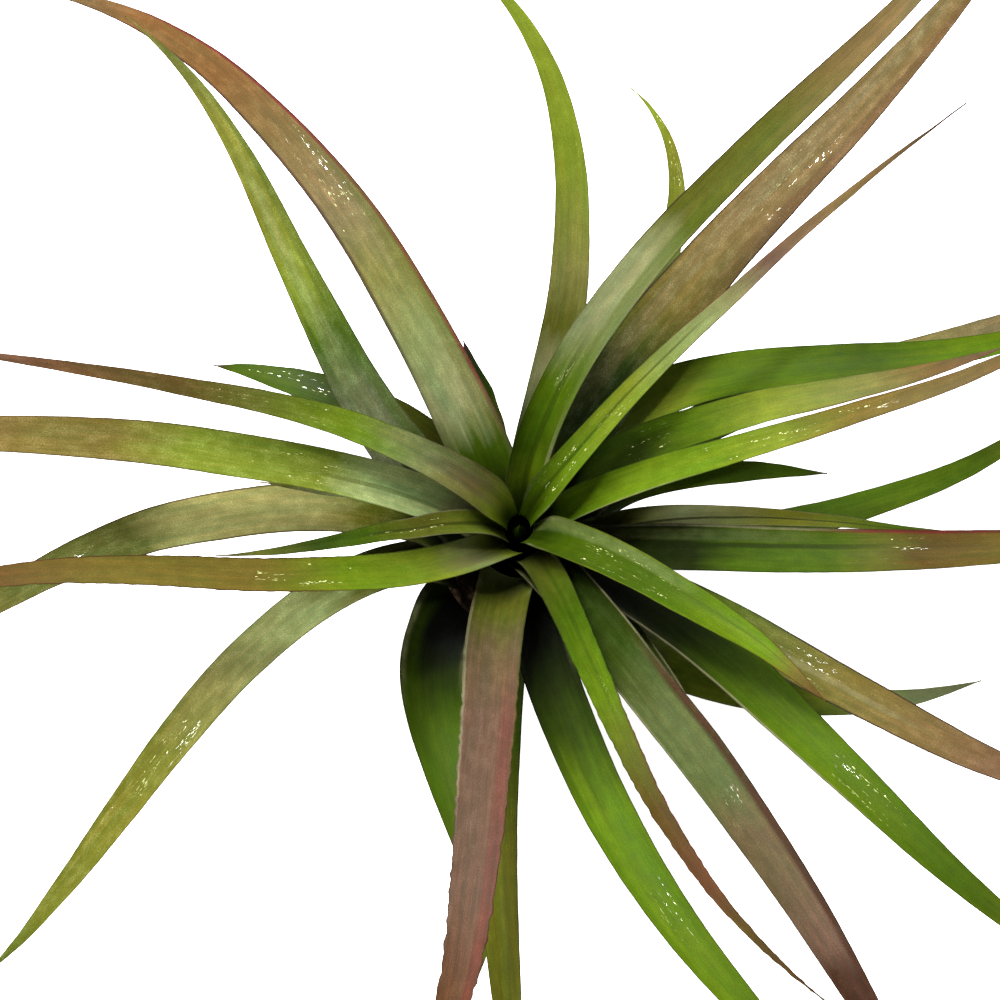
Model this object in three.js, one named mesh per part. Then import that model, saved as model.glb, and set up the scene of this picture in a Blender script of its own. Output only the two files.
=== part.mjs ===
// An air plant: a loose rosette of strap leaves on a short stem, resting on the stem's flat underside.
// Millimetres, +Z up. The origin is the middle of the underside, and +X and +Y lie along the surface.
//
// Every leaf is one closed solid: a channel section swept along its midrib. The section clasps the stem
// at the root, opens at the neck and flattens along the blade, which tapers to a fine tip.
import * as THREE from "three";

const { degToRad, lerp, smoothstep } = THREE.MathUtils;

// --- Driving dimensions -------------------------------------------------------------------------

const STEM = {
  baseRadius: 9,
  bellyRadius: 12,
  bellyHeight: 5,
  tipRadius: 0.4,
  tipHeight: 38.5,
  sides: 32,
};

// What changes steadily from the lowest leaf on the stem to the youngest one at the heart.
const RANK_RANGES = {
  rootHeight: [5, 37],
  rootPitch: [45, 74], // how steeply the clasping base climbs, in degrees
  sheathLength: [14, 11],
  neckArc: [60, 75], // half the arc of the section where the blade starts, in degrees
  rootThickness: [1.1, 0.75],
  rootFlare: [1.35, 1], // width at the root over width of the blade, where the stem is stout enough
};

const SEAT_GAP = 0.3; // between the stem and each leaf that it carries
const WIDEST_CLASP = 0.85; // half the root's width over its radius, at most
const TIP_THICKNESS = 0.65;
const TIP_WIDTH = 0.9;
const MARGIN_THINNING = 0.72; // the share of its thickness that a leaf has lost at its margins
const DROOP_EASE = 0.8; // under 1, a blade bends most just past its neck
const FLATTENING_SHARE = 0.35; // the share of the blade over which the neck's arc opens to the cup

const MIDRIB_STEPS = 100;
const SECTIONS = 13;
const SECTION_EASE = 1.5; // over 1, sections stand closer at the root
const FACE_POINTS = 7; // points across each face of the section

const TINTS = {
  green: { color: "#6a8f2c", roughness: 0.45 },
  silver: { color: "#9aa877", roughness: 0.6 },
  bronze: { color: "#86704f", roughness: 0.55 },
};

// The leaves, from the lowest on the stem to the heart. Azimuth is the side of the stem that the root
// is on, and the turns are how far the blade has swung from it at half its length and at its tip, all
// anticlockwise seen from above. Rise is the blade's pitch at its neck and droop its pitch at its tip.
// A higher fullness keeps the blade wide for longer, and cup is half the arc of the blade's section.
const LEAVES = {
  outer: [
    // azimuth, midTurn, tipTurn, rise, droop, length, width, fullness, cup, tint
    [-44, 32, 63, 27, -10, 71, 7.5, 1.8, 35, "green"],
    [126, 30, 38, 30, -25, 52, 7.8, 1.8, 30, "green"],
    [63, 6, 71, 34, -22, 78, 5.7, 1.5, 35, "green"],
    [-139, 66, 32, 44, -18, 69, 10.2, 1.9, 35, "green"],
    [34, -28, -32, 24, -20, 44, 4.8, 2.0, 30, "green"],
    [105, -1, 5, 45, 8, 28, 5.4, 1.6, 40, "green"],
    [-2, 18, 52, 37, -27, 96, 5.6, 1.8, 30, "green"],
    [-174, 45, 32, 42, -32, 108, 6.8, 2.6, 30, "silver"],
    [-98, 10, 20, 45, -14, 102, 7.0, 2.1, 35, "green"],
    [38, -21, 0, 38, -28, 107, 7.0, 1.5, 30, "bronze"],
    [-20, -11, 20, 43, -23, 108, 7.1, 2.4, 30, "bronze"],
    [167, 28, 49, 42, -18, 96, 7.7, 3.2, 25, "silver"],
  ],
  middle: [
    [10, -15, -10, 44, -16, 67, 4.5, 1.1, 45, "green"],
    [-42, -17, -8, 48, -15, 69, 7.0, 1.7, 35, "green"],
    [155, -39, -13, 45, -10, 102, 9.3, 1.15, 35, "silver"],
    [-8, 5, 27, 45, -12, 110, 7.2, 2.5, 35, "green"],
    [65, -63, 0, 41, -18, 114, 8.2, 1.4, 30, "green"],
    [-82, 21, 52, 47, -15, 114, 8.2, 2.1, 35, "green"],
    [116, 13, 47, 40, -37, 130, 9.4, 1.6, 25, "silver"],
    [-24, -24, 4, 44, -17, 118, 9.0, 1.6, 35, "green"],
    [60, -15, 1, 45, -14, 132, 10.1, 1.8, 20, "bronze"],
    [-104, 9, -20, 58, -12, 114, 8.4, 2.3, 25, "bronze"],
    [163, 14, 5, 50, -11, 42, 5.0, 0.8, 45, "silver"],
    [41, -31, -17, 52, -10, 82, 6.0, 2.3, 30, "green"],
  ],
  inner: [
    [168, 10, 14, 54, -8, 119, 6.6, 4.0, 30, "silver"],
    [-58, 1, -8, 51, -11, 118, 7.7, 3.0, 40, "bronze"],
    [80, 5, 73, 62, 14, 98, 6.4, 2.2, 30, "green"],
    [-63, -5, 29, 57, -4, 97, 5.1, 1.4, 40, "green"],
    [17, -5, 25, 52, -4, 108, 4.8, 1.5, 35, "green"],
    [-136, -42, -4, 48, -2, 118, 5.3, 2.4, 30, "green"],
    [84, -43, -21, 61, -1, 132, 5.8, 2.7, 35, "green"],
    [-173, 10, -6, 58, 0, 54, 3.8, 1.5, 55, "silver"],
    [-34, 0, -9, 57, -2, 63, 5.8, 3.0, 45, "green"],
    [148, 24, 20, 52, -4, 104, 5.9, 1.0, 35, "bronze"],
    [43, -3, -6, 56, -2, 96, 4.6, 1.0, 50, "green"],
  ],
};

// --- Stem ---------------------------------------------------------------------------------------

function stemRadius(height) {
  return height < STEM.bellyHeight
    ? lerp(STEM.baseRadius, STEM.bellyRadius, height / STEM.bellyHeight)
    : lerp(
        STEM.bellyRadius,
        STEM.tipRadius,
        (height - STEM.bellyHeight) / (STEM.tipHeight - STEM.bellyHeight),
      );
}

function makeStem() {
  const profile = [
    new THREE.Vector2(0, 0),
    new THREE.Vector2(STEM.baseRadius, 0),
    new THREE.Vector2(STEM.bellyRadius, STEM.bellyHeight),
    new THREE.Vector2(STEM.tipRadius, STEM.tipHeight),
    new THREE.Vector2(0, STEM.tipHeight),
  ];
  const geometry = new THREE.LatheGeometry(profile, STEM.sides);
  geometry.rotateX(Math.PI / 2); // the lathe turns about Y, and the stem stands along Z
  const bark = new THREE.MeshStandardMaterial({
    color: "#6b5a43",
    roughness: 0.85,
  });
  const mesh = new THREE.Mesh(geometry, bark);
  mesh.name = "stem";
  return mesh;
}

// --- Leaves -------------------------------------------------------------------------------------

// One leaf's dimensions: its own row, and what its rank up the stem sets (0 lowest, 1 at the heart).
function leafDimensions(row, rank) {
  const [azimuth, midTurn, tipTurn, rise, droop, length, width, fullness, cup, tint] = row;
  const leaf = { azimuth, midTurn, tipTurn, rise, droop, length, width, fullness, cup, tint };
  for (const [key, [lowest, highest]] of Object.entries(RANK_RANGES)) {
    leaf[key] = lerp(lowest, highest, rank);
  }
  leaf.sheathShare = leaf.sheathLength / length;
  leaf.rootRadius = stemRadius(leaf.rootHeight) + SEAT_GAP + leaf.rootThickness / 2;
  leaf.rootWidth = Math.min(width * leaf.rootFlare, 2 * WIDEST_CLASP * leaf.rootRadius);
  return leaf;
}

// The blade's pitch above the horizontal at a share of the leaf's length, in radians.
function pitchAt(leaf, share) {
  const opening = smoothstep(share, 0, leaf.sheathShare);
  const along = Math.max(0, (share - leaf.sheathShare) / (1 - leaf.sheathShare));
  const sheathPitch = lerp(leaf.rootPitch, leaf.rise, opening);
  return degToRad(sheathPitch + (leaf.droop - leaf.rise) * along ** DROOP_EASE);
}

// The blade's heading seen from above: a parabola through the root, the middle and the tip.
function headingAt(leaf, share) {
  const mid = leaf.midTurn * 4 * share * (1 - share);
  const tip = leaf.tipTurn * share * (2 * share - 1);
  return degToRad(leaf.azimuth + mid + tip);
}

// The line down the middle of a leaf, walked in short steps from the root, with its frames.
class Midrib extends THREE.Curve {
  constructor(leaf) {
    super();
    this.leaf = leaf;
    const around = degToRad(leaf.azimuth);
    const place = new THREE.Vector3(
      leaf.rootRadius * Math.cos(around),
      leaf.rootRadius * Math.sin(around),
      leaf.rootHeight,
    );
    this.points = [place.clone()];
    for (let step = 0; step < MIDRIB_STEPS; step++) {
      const { forward } = this.frameAt((step + 0.5) / MIDRIB_STEPS);
      place.addScaledVector(forward, leaf.length / MIDRIB_STEPS);
      this.points.push(place.clone());
    }
  }

  getPoint(share, target = new THREE.Vector3()) {
    const along = share * MIDRIB_STEPS;
    const step = Math.min(MIDRIB_STEPS - 1, Math.floor(along));
    return target.lerpVectors(this.points[step], this.points[step + 1], along - step);
  }

  // forward runs towards the tip, across to the left margin, and face out of the inner surface.
  frameAt(share) {
    const pitch = pitchAt(this.leaf, share);
    const heading = headingAt(this.leaf, share);
    const forward = new THREE.Vector3(
      Math.cos(pitch) * Math.cos(heading),
      Math.cos(pitch) * Math.sin(heading),
      Math.sin(pitch),
    );
    const across = new THREE.Vector3(-Math.sin(heading), Math.cos(heading), 0);
    return { forward, across, face: forward.clone().cross(across) };
  }
}

// The width from margin to margin.
function widthAt(leaf, share) {
  if (share < leaf.sheathShare) {
    return lerp(leaf.rootWidth, leaf.width, smoothstep(share, 0, leaf.sheathShare));
  }
  const along = (share - leaf.sheathShare) / (1 - leaf.sheathShare);
  return Math.max(leaf.width * (1 - along ** leaf.fullness), TIP_WIDTH);
}

// Half the arc of the section: round the stem at the root, widest at the neck, flattest on the blade.
function halfArcAt(leaf, share) {
  const neck = degToRad(leaf.neckArc);
  if (share < leaf.sheathShare) {
    const clasp = Math.asin(leaf.rootWidth / 2 / leaf.rootRadius);
    return lerp(clasp, neck, smoothstep(share, 0, leaf.sheathShare));
  }
  const along = (share - leaf.sheathShare) / (1 - leaf.sheathShare);
  return lerp(neck, degToRad(leaf.cup), smoothstep(along, 0, FLATTENING_SHARE));
}

// The closed outline of one section: the inner face from right to left, then the outer face back.
function sectionAt(leaf, midrib, share) {
  const width = widthAt(leaf, share);
  const halfArc = halfArcAt(leaf, share);
  const radius = width / 2 / Math.sin(halfArc);
  const body = lerp(leaf.rootThickness, TIP_THICKNESS, smoothstep(share, 0, 1));
  const thickness = Math.min(body, width / 2);
  const middle = midrib.getPoint(share);
  const { across, face } = midrib.frameAt(share);

  const pointAt = (side, reach) => {
    const angle = halfArc * side;
    const offset = (reach * thickness * (1 - MARGIN_THINNING * side * side)) / 2;
    return middle
      .clone()
      .addScaledVector(across, (radius - offset) * Math.sin(angle))
      .addScaledVector(face, radius - (radius - offset) * Math.cos(angle));
  };
  const sides = Array.from({ length: FACE_POINTS }, (_, i) => lerp(-1, 1, i / (FACE_POINTS - 1)));
  const inner = sides.map((side) => pointAt(side, 1));
  const outer = sides.map((side) => pointAt(-side, -1));
  return [...inner, ...outer];
}

// A closed skin over a row of sections, with a cap at each end. A cap is a strip from margin to margin
// between the section's two faces, because the section is a crescent.
function skinOver(sections) {
  const around = sections[0].length;
  const faces = [];
  const addQuad = (a, b, c, d) => faces.push(a, b, c, c, b, d);
  for (let row = 0; row < sections.length - 1; row++) {
    for (let i = 0; i < around; i++) {
      const here = row * around + i;
      const next = row * around + ((i + 1) % around);
      addQuad(here, here + around, next, next + around);
    }
  }
  const last = (sections.length - 1) * around;
  for (let i = 0; i < FACE_POINTS - 1; i++) {
    const opposite = around - 1 - i;
    addQuad(i, i + 1, opposite, opposite - 1);
    addQuad(last + i, last + opposite, last + i + 1, last + opposite - 1);
  }
  const geometry = new THREE.BufferGeometry().setFromPoints(sections.flat());
  geometry.setIndex(faces);
  geometry.computeVertexNormals();
  return geometry;
}

function makeLeaf(leaf, name) {
  const midrib = new Midrib(leaf);
  const sections = [];
  for (let i = 0; i <= SECTIONS; i++) {
    sections.push(sectionAt(leaf, midrib, (i / SECTIONS) ** SECTION_EASE));
  }
  const mesh = new THREE.Mesh(
    skinOver(sections),
    new THREE.MeshStandardMaterial({ ...TINTS[leaf.tint], side: THREE.DoubleSide }),
  );
  mesh.name = name;
  return mesh;
}

// Each ring's leaves in their own group, numbered from the lowest up.
function makeRings() {
  const total = Object.values(LEAVES).flat().length;
  let rank = 0;
  return Object.entries(LEAVES).map(([ring, rows]) => {
    const group = new THREE.Group();
    rows.forEach((row, i) => {
      const name = `${ring}_leaf_${String(i + 1).padStart(2, "0")}`;
      group.add(makeLeaf(leafDimensions(row, rank / (total - 1)), name));
      rank += 1;
    });
    return group;
  });
}

const airPlant = new THREE.Group();
airPlant.add(makeStem(), ...makeRings());

export default airPlant;
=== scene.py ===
"""An air plant, dressed: every leaf of the rosette as a fine, veined, channelled blade round a woody stump.

Each blade follows the rule that shapes the plain solids: a midrib walked outwards from the stump, and a
channel section carried along it. The same numbers set both, so a blade lies where its solid lies. On top of
the rule a blade gets what a solid leaves out: waved margins, a crease, slow twists, a fine point, and beads
of water.
"""

import logging
import math
from dataclasses import dataclass, field
from enum import Enum
from typing import Any, Optional, Sequence

import bpy
from mathutils import Matrix, Vector, noise


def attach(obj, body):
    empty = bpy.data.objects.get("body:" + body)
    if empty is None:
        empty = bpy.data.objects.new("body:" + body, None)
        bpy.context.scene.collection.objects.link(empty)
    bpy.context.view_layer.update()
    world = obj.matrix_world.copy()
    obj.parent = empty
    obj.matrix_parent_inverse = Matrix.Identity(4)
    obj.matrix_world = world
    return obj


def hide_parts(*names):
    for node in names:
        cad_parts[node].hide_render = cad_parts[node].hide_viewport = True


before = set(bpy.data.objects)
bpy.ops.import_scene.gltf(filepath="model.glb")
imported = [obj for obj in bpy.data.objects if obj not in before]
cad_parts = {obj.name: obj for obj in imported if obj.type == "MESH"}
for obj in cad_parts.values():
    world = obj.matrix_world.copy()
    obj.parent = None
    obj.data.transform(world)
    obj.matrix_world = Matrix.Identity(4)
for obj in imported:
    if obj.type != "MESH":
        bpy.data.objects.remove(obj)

LOG = logging.getLogger("air_plant")
MM = 0.001
BODY = "root"


# --- Colours ------------------------------------------------------------------------------------------


class Tone(Enum):
    """The plant's colours in sRGB: tissue and bark as they look in plain daylight, a near black of painted
    shade, a painted highlight for water, and two pale tones of painted light.
    """

    # Painted shade: the near black of deep shade, at the leaves' roots and in the wells of their channels. On
    # the bark it is also the darkest fibres.
    SHADE_AND_FIBRE_BLACK = "#0c1106"
    MOSS = "#263405"
    DEEP = "#3b5102"
    LEAF = "#537003"
    FRESH = "#6c8f06"
    BRIGHT = "#82a41c"
    LIME = "#98ab34"
    SILVER = "#a6b27a"
    SAGE = "#77805e"
    GREY_GREEN = "#6c7a4a"
    PALE = "#b2b78c"
    OLIVE = "#6e7426"
    YELLOW_OLIVE = "#8e9026"
    KHAKI = "#9a9858"
    BRASS = "#8c7c36"
    TAN = "#93794c"
    SAND = "#9c8b68"
    MAUVE = "#83655b"
    ROSE = "#97705c"
    COPPER = "#92683a"
    RUST = "#75492c"
    BROWN = "#6a5420"
    UMBER = "#553426"
    PLUM = "#43202c"
    CRIMSON = "#8a2430"
    PAPER = "#bdb89c"
    DRY = "#7d6a50"
    BARK = "#33271c"
    SCALE = "#d3d8c6"
    # A painted highlight: the bright colour of the water's beads and dashes.
    GLINT = "#e6ec9c"
    # Painted light: two extra-bright pale tones that lift pale parts which other leaves shade.
    LIT_PALE_GREEN = "#d9efab"
    LIT_STRAW = "#e0dc94"


# The studio light is bright enough to bleach the floor, so tissue is darker than it looks by this factor.
LIGHT_ALLOWANCE = 0.28

# The sRGB rule: a straight line up to the knee, and a power beyond it.
SRGB_KNEE = 0.04045
SRGB_SLOPE = 12.92
SRGB_OFFSET = 0.055
SRGB_POWER = 2.4


def linear(tone: Tone, factor: float = LIGHT_ALLOWANCE) -> tuple[float, float, float, float]:
    """The linear colour of a tone.

    Args:
        tone: the tone.
        factor: what its brightness is multiplied by.

    Returns:
        Red, green, blue and alpha.
    """
    code = tone.value.lstrip("#")
    channels = [int(code[i:i + 2], 16) / 255 for i in (0, 2, 4)]
    red, green, blue = (
        c / SRGB_SLOPE if c <= SRGB_KNEE else ((c + SRGB_OFFSET) / (1.0 + SRGB_OFFSET)) ** SRGB_POWER
        for c in channels
    )
    return red * factor, green * factor, blue * factor, 1.0


# --- Node maths ---------------------------------------------------------------------------------------


class Value:
    """One output socket, on which sums are written as plain expressions."""

    def __init__(self, graph: "Graph", socket: bpy.types.NodeSocket) -> None:
        """Wraps a socket of a graph."""
        self.graph = graph
        self.socket = socket

    @property
    def is_vector(self) -> bool:
        """Whether the socket carries a vector."""
        return self.socket.type == "VECTOR"

    def _math(self, operation: str, *operands: Any) -> "Value":
        """The result of a Math node on plain numbers, with its inputs in order."""
        return self.graph.add("ShaderNodeMath", {"operation": operation}, dict(enumerate(operands)), "Value")

    def _vector_math(self, operation: str, *operands: Any) -> "Value":
        """A Vector Math node; a Scale takes its number by name.

        Args:
            operation: the node's operation.
            operands: its inputs, in order.

        Returns:
            The resulting vector.
        """
        inputs: dict[Any, Any] = dict(enumerate(operands))
        if operation == "SCALE":
            inputs = {0: operands[0], "Scale": operands[1]}
        return self.graph.add("ShaderNodeVectorMath", {"operation": operation}, inputs, "Vector")

    def _pair(self, operation: str, left: Any, right: Any) -> "Value":
        """A sum of two operands, as vectors where either is one.

        Args:
            operation: ADD, SUBTRACT or MULTIPLY.
            left: the first operand.
            right: the second operand.

        Returns:
            The result.
        """
        left_vector = isinstance(left, Value) and left.is_vector
        right_vector = isinstance(right, Value) and right.is_vector
        if left_vector and right_vector:
            return self._vector_math(operation, left, right)
        if left_vector or right_vector:
            vector, scale = (left, right) if left_vector else (right, left)
            return self._vector_math("SCALE", vector, scale)
        return self._math(operation, left, right)

    def __add__(self, other: Any) -> "Value":
        """self + other."""
        return self._pair("ADD", self, other)

    def __radd__(self, other: Any) -> "Value":
        """other + self."""
        return self._pair("ADD", other, self)

    def __sub__(self, other: Any) -> "Value":
        """self - other."""
        return self._pair("SUBTRACT", self, other)

    def __rsub__(self, other: Any) -> "Value":
        """other - self."""
        return self._pair("SUBTRACT", other, self)

    def __mul__(self, other: Any) -> "Value":
        """self * other."""
        return self._pair("MULTIPLY", self, other)

    def __rmul__(self, other: Any) -> "Value":
        """other * self."""
        return self._pair("MULTIPLY", other, self)

    def __truediv__(self, other: Any) -> "Value":
        """self / other, for numbers."""
        return self._math("DIVIDE", self, other)

    def __rtruediv__(self, other: Any) -> "Value":
        """other / self, for numbers."""
        return self._math("DIVIDE", other, self)

    def __pow__(self, other: Any) -> "Value":
        """self ** other."""
        return self._math("POWER", self, other)

    def sin(self) -> "Value":
        """The sine."""
        return self._math("SINE", self)

    def cos(self) -> "Value":
        """The cosine."""
        return self._math("COSINE", self)

    def arcsin(self) -> "Value":
        """The angle with this sine."""
        return self._math("ARCSINE", self)

    def absolute(self) -> "Value":
        """The size without its sign."""
        return self._math("ABSOLUTE", self)

    def sign(self) -> "Value":
        """-1, 0 or 1."""
        return self._math("SIGN", self)

    def radians(self) -> "Value":
        """Degrees turned into radians."""
        return self._math("RADIANS", self)

    def at_least(self, other: Any) -> "Value":
        """The larger of this and other."""
        return self._math("MAXIMUM", self, other)

    def at_most(self, other: Any) -> "Value":
        """The smaller of this and other."""
        return self._math("MINIMUM", self, other)

    def ramp(self, start: Any, end: Any, low: Any = 0.0, high: Any = 1.0) -> "Value":
        """An eased rise from low at start to high at end, flat outside them.

        A class names the ramps that it uses as tuples of these two or four numbers.

        Args:
            start: where the rise starts.
            end: where it ends.
            low: the result before it.
            high: the result after it.

        Returns:
            The eased value.
        """
        settings = {"interpolation_type": "SMOOTHSTEP"}
        inputs = {"Value": self, "From Min": start, "From Max": end, "To Min": low, "To Max": high}
        return self.graph.add("ShaderNodeMapRange", settings, inputs, "Result")

    def blend(self, low: Any, high: Any) -> "Value":
        """low where this is 0 and high where it is 1, for numbers."""
        return low + self * (high - low)

    def part(self, axis: str) -> "Value":
        """One component of a vector: X, Y or Z."""
        return self.graph.add("ShaderNodeSeparateXYZ", {}, {"Vector": self}, axis)


class Graph:
    """Adds nodes to one tree and hands their outputs back as values."""

    NOISE_MIDDLE = 0.5
    RIPPLE_DETAIL = 1.0
    RIPPLE_SWING = 3.2

    def __init__(self, tree: bpy.types.NodeTree) -> None:
        """Starts on a tree."""
        self.tree = tree

    def add(self, kind: str, settings: dict[str, Any], inputs: dict[Any, Any], output: str) -> Value:
        """One node, with its settings made before its sockets are filled.

        Args:
            kind: the node's type.
            settings: its properties; "stops" fills a colour ramp.
            inputs: a value or a number for each socket, by name or by place.
            output: the name of the output wanted.

        Returns:
            That output.
        """
        node = self.tree.nodes.new(kind)
        for name, setting in settings.items():
            if name == "stops":
                self._fill_ramp(node.color_ramp, setting)
            else:
                setattr(node, name, setting)
        for key, given in inputs.items():
            self.feed(self._socket(node.inputs, key), given)
        return Value(self, self._socket(node.outputs, output))

    def feed(self, socket: bpy.types.NodeSocket, given: Any) -> None:
        """Fills a socket.

        Args:
            socket: the input socket.
            given: a value to link to it, or a plain number, vector, colour or data block to set on it.
        """
        if isinstance(given, Value):
            self.tree.links.new(given.socket, socket)
        else:
            socket.default_value = given

    @staticmethod
    def _socket(sockets: Sequence[bpy.types.NodeSocket], key: Any) -> bpy.types.NodeSocket:
        """Finds a socket that is in use.

        Args:
            sockets: a node's inputs or outputs.
            key: its place among those in use, or its name.

        Returns:
            The socket at that place, or the first with that name.
        """
        live = [socket for socket in sockets if socket.enabled]
        if isinstance(key, int):
            return live[key]
        return next(socket for socket in live if socket.name == key)

    @staticmethod
    def _fill_ramp(ramp: bpy.types.ColorRamp, stops: Sequence[tuple[float, Sequence[float]]]) -> None:
        """Sets a colour ramp's stops.

        Args:
            ramp: the ramp.
            stops: the place and colour of each, from the first to the last.
        """
        while len(ramp.elements) < len(stops):
            ramp.elements.new(1.0)
        for element, (place, colour) in zip(ramp.elements, stops):
            element.position = place
            element.color = colour

    def vector(self, x: Any, y: Any, z: Any) -> Value:
        """A vector from its components."""
        return self.add("ShaderNodeCombineXYZ", {}, {"X": x, "Y": y, "Z": z}, "Vector")

    def mix(self, factor: Any, first: Any, second: Any) -> Value:
        """The first colour where factor is 0 and the second where it is 1."""
        settings = {"data_type": "RGBA", "blend_type": "MIX", "clamp_factor": True}
        return self.add("ShaderNodeMix", settings, {"Factor": factor, "A": first, "B": second}, "Result")

    def tint(self, colour: Any, factors: Any) -> Value:
        """A colour with its red, green and blue multiplied by those of another."""
        settings = {"data_type": "RGBA", "blend_type": "MULTIPLY", "clamp_factor": True}
        return self.add("ShaderNodeMix", settings, {"Factor": 1.0, "A": colour, "B": factors}, "Result")

    def noise(self, place: Value, detail: float, roughness: float = 0.5, scale: float = 1.0,
              dimensions: str = "3D") -> Value:
        """Noise about NOISE_MIDDLE.

        Args:
            place: where, in cells if scale is 1.
            detail: how many finer layers it has.
            roughness: how strong those are.
            scale: the cells to a unit of place.
            dimensions: 2D or 3D.

        Returns:
            Its level there, between 0 and 1.
        """
        inputs = {"Vector": place, "Scale": scale, "Detail": detail, "Roughness": roughness}
        return self.add("ShaderNodeTexNoise", {"noise_dimensions": dimensions}, inputs, "Fac")

    def ripple(self, place: Any, seed: Any) -> Value:
        """A smooth wander between about -1 and 1 along a line.

        Args:
            place: where on the line, in waves.
            seed: which line.

        Returns:
            The wander there.
        """
        level = self.noise(self.vector(place, seed, 0.0), self.RIPPLE_DETAIL, dimensions="2D")
        return (level - self.NOISE_MIDDLE) * self.RIPPLE_SWING

    def surface(self, inputs: dict[str, Any]) -> None:
        """Ends a material in one Principled shader.

        Args:
            inputs: a value or a number for each of the shader's sockets.
        """
        shader = self.add("ShaderNodeBsdfPrincipled", {}, inputs, "BSDF")
        output = self.tree.nodes.new("ShaderNodeOutputMaterial")
        self.feed(output.inputs["Surface"], shader)


def blank_material(name: str) -> tuple[bpy.types.Material, Graph]:
    """A new material.

    Args:
        name: the material's name.

    Returns:
        The material with no nodes, and the graph to put them in.
    """
    made = bpy.data.materials.new(name)
    made.use_nodes = True
    made.node_tree.nodes.clear()
    return made, Graph(made.node_tree)


def stand(name: str, data: bpy.types.ID) -> bpy.types.Object:
    """Puts something new in the scene.

    Args:
        name: the object's name.
        data: its mesh, light or camera.

    Returns:
        The object, at the origin.
    """
    made = bpy.data.objects.new(name, data)
    bpy.context.scene.collection.objects.link(made)
    return made


# --- Leaf shape ---------------------------------------------------------------------------------------


@dataclass(frozen=True)
class Stump:
    """The woody stump: a low belly that narrows to the heart, flat underneath. Millimetres."""

    base_radius: float = 9.0
    belly_radius: float = 12.0
    belly_height: float = 5.0
    tip_radius: float = 0.4
    tip_height: float = 38.5

    def radius(self, height: float) -> float:
        """The radius at a height.

        Args:
            height: above the underside.

        Returns:
            The radius there.
        """
        if height < self.belly_height:
            return self.base_radius + (self.belly_radius - self.base_radius) * height / self.belly_height
        up = min(1.0, (height - self.belly_height) / (self.tip_height - self.belly_height))
        return self.belly_radius + (self.tip_radius - self.belly_radius) * up


@dataclass(frozen=True)
class RankRange:
    """What changes steadily from the lowest leaf (rank 0) to the youngest at the heart (rank 1)."""

    low: float
    high: float

    def at(self, rank: float) -> float:
        """The size at a rank."""
        return self.low + (self.high - self.low) * rank


# What a leaf takes from its rank. Heights, lengths and thicknesses are millimetres, and pitch and arc
# degrees; the flare is how many times as wide as the blade the root is.
ROOT_HEIGHT = RankRange(5.0, 37.0)
ROOT_PITCH = RankRange(45.0, 74.0)
SHEATH_LENGTH = RankRange(14.0, 11.0)
NECK_ARC = RankRange(60.0, 75.0)
ROOT_THICKNESS = RankRange(1.1, 0.75)
ROOT_FLARE = RankRange(1.35, 1.0)

# A root stands off the stump by the gap, and clasps this share of the stump's width at most.
SEAT_GAP = 0.3
WIDEST_CLASP = 0.85


@dataclass(frozen=True)
class LeafShape:
    """One leaf's own sizes, in degrees and millimetres.

    Azimuth is the side of the stump that the root is on, and the turns are how far the blade has swung from
    it at half its length and at its tip, anticlockwise seen from above. Rise and droop are the blade's pitch
    at its neck and at its tip. A higher fullness keeps it wide for longer, and cup is half the arc of its
    section.
    """

    azimuth: float
    mid_turn: float
    tip_turn: float
    rise: float
    droop: float
    length: float
    width: float
    fullness: float
    cup: float


@dataclass(frozen=True)
class Relief:
    """What the blade has beyond its plain rule.

    Wave is how far the margins wander, and sway and bow are how far the whole blade lies to its left, here
    and there along it or in one bend by the heart. These and wave length are millimetres, and twist is
    degrees. Crease is how far the channel is drawn from an arc into a fold, from 0 to 1.
    """

    wave: float = 0.05
    wave_length: float = 5.0
    crease: float = 0.25
    twist: float = 5.0
    sway: float = 0.25
    bow: float = 0.0


@dataclass(frozen=True)
class Wander:
    """A slow wander along a blade: its waves to each unit of the place, and its own draw of the noise."""

    waves: float
    draw: float

    def at(self, graph: Graph, place: Value, seed: Value) -> Value:
        """The wander at a place of the leaf with this seed, between about -1 and 1."""
        return graph.ripple(place * self.waves, seed + self.draw)


@dataclass(frozen=True)
class Pattern:
    """Noise drawn out along a blade: its cell in millimetres, its own draw of the noise, and its detail."""

    along: float
    across: float
    draw: float
    detail: float

    def cell(self, graph: Graph, along: Value, across: Value, seed: Any, unit: float = 1.0) -> Value:
        """Where a place lies in the noise.

        Args:
            graph: the graph to work in.
            along: how far the place is from the root.
            across: how far it is from the midrib.
            seed: which stretch of the noise this leaf has.
            unit: one millimetre in the unit of those two.

        Returns:
            The place, in cells.
        """
        return graph.vector(along / (self.along * unit), across / (self.across * unit), seed + self.draw)


BROAD = Pattern(16.0, 3.0, 0.0, 2.0)
STREAKS = Pattern(14.0, 0.7, 5.0, 3.0)
VEINS = Pattern(9.0, 0.2, 9.0, 2.0)
GRAIN = Pattern(0.24, 0.18, 13.0, 1.0)
BLOTCHES = Pattern(2.6, 1.6, 17.0, 4.0)
WATER_ROWS = Pattern(9.0, 0.55, 11.0, 1.0)
WATER_DASHES = Pattern(0.9, 0.13, 31.0, 1.0)

# The shares of the leaf over which water fades in where its wet stretch starts, and out where it ends.
WET_FADE_IN = 0.05
WET_FADE_OUT = 0.08


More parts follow.
